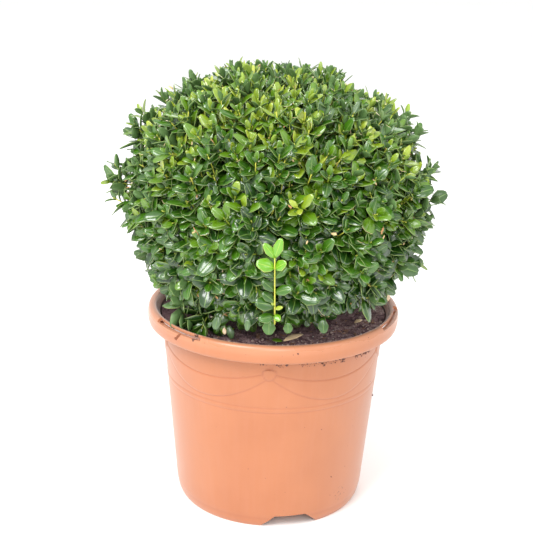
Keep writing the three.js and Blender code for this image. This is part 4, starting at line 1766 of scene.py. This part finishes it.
# %% Tones for the leaves
LIGHTER_SHARE = 0.75
DARKER_SHARE = 0.7
ODD_SHARE = 0.12
BRONZE_SHARE = 0.0007
CLIPPED_SHARE = 0.04
SURE_PAIRS = 4
LAST_PAIR_SHARE = 0.35
MISSING_SHARE = 0.03


def by_chance(share, shape=LEAF_SHAPE):
    """True for about this share of the leaves."""
    return growth.uniform(size=shape) < share


def leaf_tones():
    """The spray's tone, a step lighter on most youngest leaves, darker on most old ones."""
    tone = np.broadcast_to(spray_tone[:, None, None], LEAF_SHAPE)
    tone = tone + ((pair == 0) & (tone < TONE_NUMBER["yellow_green"]) & by_chance(LIGHTER_SHARE))
    older = (pair >= 2) & (tone > 0) & (tone < TONE_NUMBER["dusty_green"])
    tone = np.where(older & by_chance(DARKER_SHARE), tone - 1, tone)
    odd = growth.uniform(size=LEAF_SHAPE)
    darker = (odd < ODD_SHARE) & (tone > 0) & (tone < TONE_NUMBER["yellow_green"])
    tone = np.where(darker, tone - 1, tone)
    return np.where(odd > 1 - BRONZE_SHARE, TONE_NUMBER["bronze"], tone)


print("tones:", len(TONES), "fresh ones among them:", len(FRESH_TONES))

# %% All leaves that the rule grows


def plan_leaves():
    """Every leaf's place, directions, shape and tone, as flat arrays."""
    base, along, normal = leaf_directions()
    length, width = leaf_sizes()
    tone = leaf_tones()
    clipped = by_chance(CLIPPED_SHARE)
    leaf = {
        "base": base,
        "along": along,
        "normal": normal,
        "length": length,
        "width": width,
        "cut": np.where(clipped, growth.uniform(0.45, 0.8, LEAF_SHAPE), 1.0),
        "arch": growth.normal(0.42, 0.28, LEAF_SHAPE) + 1e-3,
        "fold": growth.normal(0.16, 0.10, LEAF_SHAPE),
        "twist": growth.normal(0, 0.28, LEAF_SHAPE),
        "tone": tone,
    }
    grown = (pair < SURE_PAIRS) | by_chance(LAST_PAIR_SHARE, (spray_count, 1, 1))
    grown = grown & by_chance(1 - MISSING_SHARE)
    return {key: value[grown] for key, value in leaf.items()}


leaves = plan_leaves()
print("leaves grown:", len(leaves["tone"]))

# %% [markdown]
# ## Leaves placed one by one
#
# One long shoot has escaped the shears on the viewer's side. It stands up from the skirt with two
# pairs of lime green leaves at its tip and older, darker pairs below, and it is what the eye
# meets first. Low leaves hang over the soil on both sides of it, one spray at the left of it is
# damaged and partly dry, and some leaves have fallen. A growing rule can't be asked for one
# certain leaf, so these are placed one by one: where each springs, where it points (right, away
# from the viewer, up), its length and width, and its tone.

# %% The bright shoot's leaves
# share of the way up the shoot, direction, length, width, tone
BRIGHT_SHOOT_LEAVES = [
    (1.00, (-0.58, -0.15, 0.80), 20, 10, "lime_green"),
    (1.00, (0.27, -0.15, 0.95), 23, 11, "lime_green"),
    (0.85, (-0.92, -0.25, 0.33), 21, 16, "lime_green"),
    (0.84, (0.62, -0.52, 0.55), 18, 12, "lime_green"),
    (0.72, (-0.85, 0.10, 0.35), 16, 10, "dark_green"),
    (0.70, (0.70, 0.10, 0.70), 17, 10, "box_green"),
    (0.50, (-0.75, -0.10, 0.65), 18, 11, "dark_green"),
    (0.47, (0.88, -0.30, 0.40), 21, 12, "box_green"),
    (0.33, (-0.75, -0.10, 0.60), 17, 11, "dark_green"),
    (0.28, (-0.93, -0.30, 0.22), 22, 17, "dark_green"),
    (0.27, (-0.50, -0.40, 0.70), 7, 4, "fresh_green"),
    (0.22, (0.80, -0.40, 0.35), 10, 5, "fresh_green"),
    (0.14, (0.50, -0.60, -0.50), 10, 8, "lime_green"),
    (0.10, (-0.95, -0.30, -0.10), 18, 12, "box_green"),
]


def on_bright_shoot(rows):
    """Rows that give a share of the shoot's height, with the place there in its stead."""
    low, high = BRIGHT_SHOOT
    return [(low + row[0] * (high - low), *row[1:]) for row in rows]


print("leaves on the bright shoot:", len(BRIGHT_SHOOT_LEAVES))

# %% Hanging and fallen leaves
# place in mm, direction, length, width, tone
HANGING_LEAVES = [
    ((-5, -150, 273), (0.0, -0.15, -0.95), 17, 15, "box_green"),
    ((15, -148, 270), (0.05, -0.10, -0.95), 13, 11, "box_green"),
    ((-27, -146, 272), (-0.10, -0.10, -0.90), 14, 7, "dusty_green"),
    ((-60, -128, 268), (-0.20, -0.20, -0.85), 16, 10, "dusty_green"),
    ((52, -134, 270), (0.15, -0.20, -0.85), 17, 12, "dark_green"),
    ((-62, -92, 247), (-0.15, -0.25, -0.90), 14, 8, "dark_green"),
    ((-56, -92, 246), (0.05, -0.25, -0.90), 13, 8, "mid_green"),
    ((-50, -94, 244), (0.25, -0.25, -0.85), 16, 9, "dusty_green"),
    ((-68, -89, 246), (-0.60, -0.20, -0.60), 10, 6, "box_green"),
    ((-66, -92, 250), (0.40, -0.20, -0.70), 8, 6, "dry_leaf_with_painted_light"),
    ((-55, -96, 242), (0.10, -0.30, -0.70), 8, 5, "dry_leaf_with_painted_light"),
    ((135, -2, 243), (0.05, 0.20, 0.95), 13, 10, "dry_leaf_with_painted_light"),
]
FALLEN_LEAVES = [
    ((12, -105, 231), (0.80, 0.58, 0.10), 27, 10, "dry_leaf_with_painted_light"),
    ((11, -103, 230), (-0.95, 0.05, 0.10), 12, 8, "mid_green"),
    ((-54, -71, 228), (0.80, 0.50, 0.10), 12, 4, "fresh_green"),
    ((-66, -58, 228), (-0.70, 0.60, 0.10), 9, 4, "fresh_green"),
    ((139, 24, 235), (-0.15, 0.45, 0.60), 17, 13, "dry_leaf_with_painted_light"),
    ((133, 34, 236), (-0.30, 0.30, 0.75), 13, 8, "dry_leaf_with_painted_light"),
    ((-92, -18, 229), (-0.40, 0.70, 0.20), 12, 6, "dusty_green"),
    ((96, -34, 228), (0.60, 0.60, 0.10), 13, 7, "dry_leaf_with_painted_light"),
]
print("hanging:", len(HANGING_LEAVES), "fallen:", len(FALLEN_LEAVES))

# %% All leaves as pieces
TO_THE_VIEWER = np.array([0.0, -0.85, 0.5])
TO_THE_SKY = np.array([0.0, -0.2, 1.0])
LEAF_STATIONS = np.array([0, 0.2, 0.54, 0.86, 1.0])
LEAF_PIECES = 4


def placed_leaves(rows, facing):
    """Leaves from rows of base, direction, length, width and tone, all with one side to face."""
    base, direction, length, width, names = zip(*rows)
    direction = unit(np.array(direction))
    count = len(rows)
    return {
        "base": np.array(base, float),
        "along": direction,
        "normal": unit(facing - (direction @ facing)[:, None] * direction),
        "length": np.array(length, float),
        "width": np.array(width, float),
        "cut": np.ones(count),
        "arch": growth.normal(0.35, 0.15, count),
        "fold": growth.normal(0.14, 0.05, count),
        "twist": growth.normal(0, 0.15, count),
        "tone": np.array([TONE_NUMBER[name] for name in names]),
    }


groups = [
    leaves,
    placed_leaves(on_bright_shoot(BRIGHT_SHOOT_LEAVES), TO_THE_VIEWER),
    placed_leaves(HANGING_LEAVES, TO_THE_VIEWER),
    placed_leaves(FALLEN_LEAVES, TO_THE_SKY),
]
leaves = {key: np.concatenate([group[key] for group in groups]) for key in leaves}
print("leaves:", len(leaves["tone"]))
for number, members in enumerate(np.array_split(np.arange(len(leaves["tone"])), LEAF_PIECES), 1):
    some = {key: value[members] for key, value in leaves.items()}
    add_piece(f"leaves_{number}", leaf_mesh("leaves", some, LEAF_STATIONS), "foliage_ball")

# %% [markdown]
# ## Buds and clippings
#
# Every shoot ends in a small pointed bud. In the topmost leaf axils sit clusters of pale yellow
# flower buds, and after clipping, dry cream and tan scraps of leaf stay caught between the
# sprays. All of them are the pebble again, stretched and dented: one to each tip, four to a
# cluster, and flat ones for the scraps.

# %% Buds
CLUSTER_SHARE = 0.16
CLUSTER_SIZE = 4


def make_buds():
    """One pointed bud beyond each shoot's tip, along the shoot."""
    along = shoot_arrivals
    across = side_of(along)
    axes = np.stack([along, across, np.cross(along, across)], axis=1)
    sizes = growth.uniform(0.8, 1.2, (spray_count, 1)) * [2.6, 1.0, 0.8]
    finish = plain_finish("leaf_bud", "#a9b348", 0.45)  # slightly glossy bud scales
    centres = shoot_tips + 1.5 * along
    add_pebbles("tip_buds", "foliage_ball", finish, centres, sizes, axes, growth, 2, 5)


def make_flower_buds():
    """Clusters of pale yellow flower buds where the second pair of leaves joins the shoot."""
    chosen = np.flatnonzero(by_chance(CLUSTER_SHARE * (0.5 + height_share), spray_count))
    owners = np.repeat(chosen, CLUSTER_SIZE)
    centres = shoot_tips[owners] - PAIR_DISTANCE[1] * shoot_arrivals[owners]
    centres = centres + growth.normal(0, 1.3, centres.shape)
    sizes = growth.uniform(0.6, 1.3, (len(owners), 3))
    axes = random_turns(len(owners), growth)
    finish = plain_finish("flower_bud", "#cfc06a", 0.55)  # satin, paler than any leaf
    add_pebbles("flower_buds", "foliage_ball", finish, centres, sizes, axes, growth, 2, 5)


make_buds()
make_flower_buds()

# %% Dry scraps
SCRAP_COUNT = 260
SCRAP_DEPTH = (7, 15)
SCRAP_DENT = 0.4
SCRAP_COLOURS = ["#d9bd8c", "#e8dcc0", "#b98a5c"]  # matt dry leaf: straw, cream, tan


def make_scraps():
    """Dry scraps of clipped leaf, 3 to 7 mm, a little under the outline."""
    owners = growth.integers(0, spray_count, SCRAP_COUNT)
    depth = growth.uniform(*SCRAP_DEPTH, (SCRAP_COUNT, 1))
    centres = surface[owners] - depth * outward[owners]
    centres = centres + growth.normal(0, 2, (SCRAP_COUNT, 3))
    sizes = growth.gamma(5.0, 0.46, (SCRAP_COUNT, 1)) * [1.0, 0.45, 0.1]
    axes = random_turns(SCRAP_COUNT, growth)
    add_dealt_pebbles(
        "dry_scraps", "foliage_ball", "dry_scrap", SCRAP_COLOURS, 0.8,
        (centres, sizes, axes, growth, 3, 7, SCRAP_DENT),
        lambda n: growth.integers(0, n, SCRAP_COUNT),
    )


make_scraps()

# %% [markdown]
# ## Floor and light
#
# A pale floor and a pale surround, as in a studio, with a large soft lamp above and to the left,
# a small one in front, a weak one on the right and one behind. An image of a room would light it
# too, but square lamps give glossy leaves broad pale highlights, and the gaps between them stay
# dark.

# %% Floor
FLOOR_HALF_METRES = 40


def make_floor():
    """A large level square, not part of the plant."""
    corners = FLOOR_HALF_METRES / MM * np.array([[-1, -1, 0], [1, -1, 0], [1, 1, 0], [-1, 1, 0]])
    finish = plain_finish("pale_bench", "#f8f8f7", 0.9)  # matt, so that only soft shade shows
    mesh = mesh_of("floor", corners, [np.array([[0, 1, 2, 3]])], [finish])
    floor = bpy.data.objects.new("floor", mesh)
    scene.collection.objects.link(floor)


make_floor()
print("floor:", 2 * FLOOR_HALF_METRES, "m across")

# %% Lamps
LAMPS = [
    {"name": "key", "place": (-1.2, -1.6, 2.4), "size": 1.3, "watts": 68},
    {"name": "front", "place": (0.1, -1.95, 1.2), "size": 0.7, "watts": 11},
    {"name": "fill", "place": (1.9, -1.2, 1.5), "size": 0.8, "watts": 5},
    {"name": "back", "place": (0.4, 1.9, 2.2), "size": 1.2, "watts": 14},
]
LAMP_AIM = (0, 0, 0.3)
SURROUND_STRENGTH = 1.06


def make_lamps():
    """Square soft lamps that face the plant, and an even pale surround."""
    for lamp in LAMPS:
        data = bpy.data.lights.new(lamp["name"], "AREA")
        data.size = lamp["size"]
        data.energy = lamp["watts"]
        light = bpy.data.objects.new(lamp["name"], data)
        light.location = lamp["place"]
        aim = Vector(LAMP_AIM) - light.location
        light.rotation_mode = "QUATERNION"
        light.rotation_quaternion = aim.to_track_quat("-Z", "Y")
        scene.collection.objects.link(light)
    world = bpy.data.worlds.new("surround")
    world.use_nodes = True
    background = world.node_tree.nodes["Background"]
    background.inputs["Color"].default_value = linear("#ffffff")
    background.inputs["Strength"].default_value = SURROUND_STRENGTH
    scene.world = world


make_lamps()
print("lamps, W:", [lamp["watts"] for lamp in LAMPS])
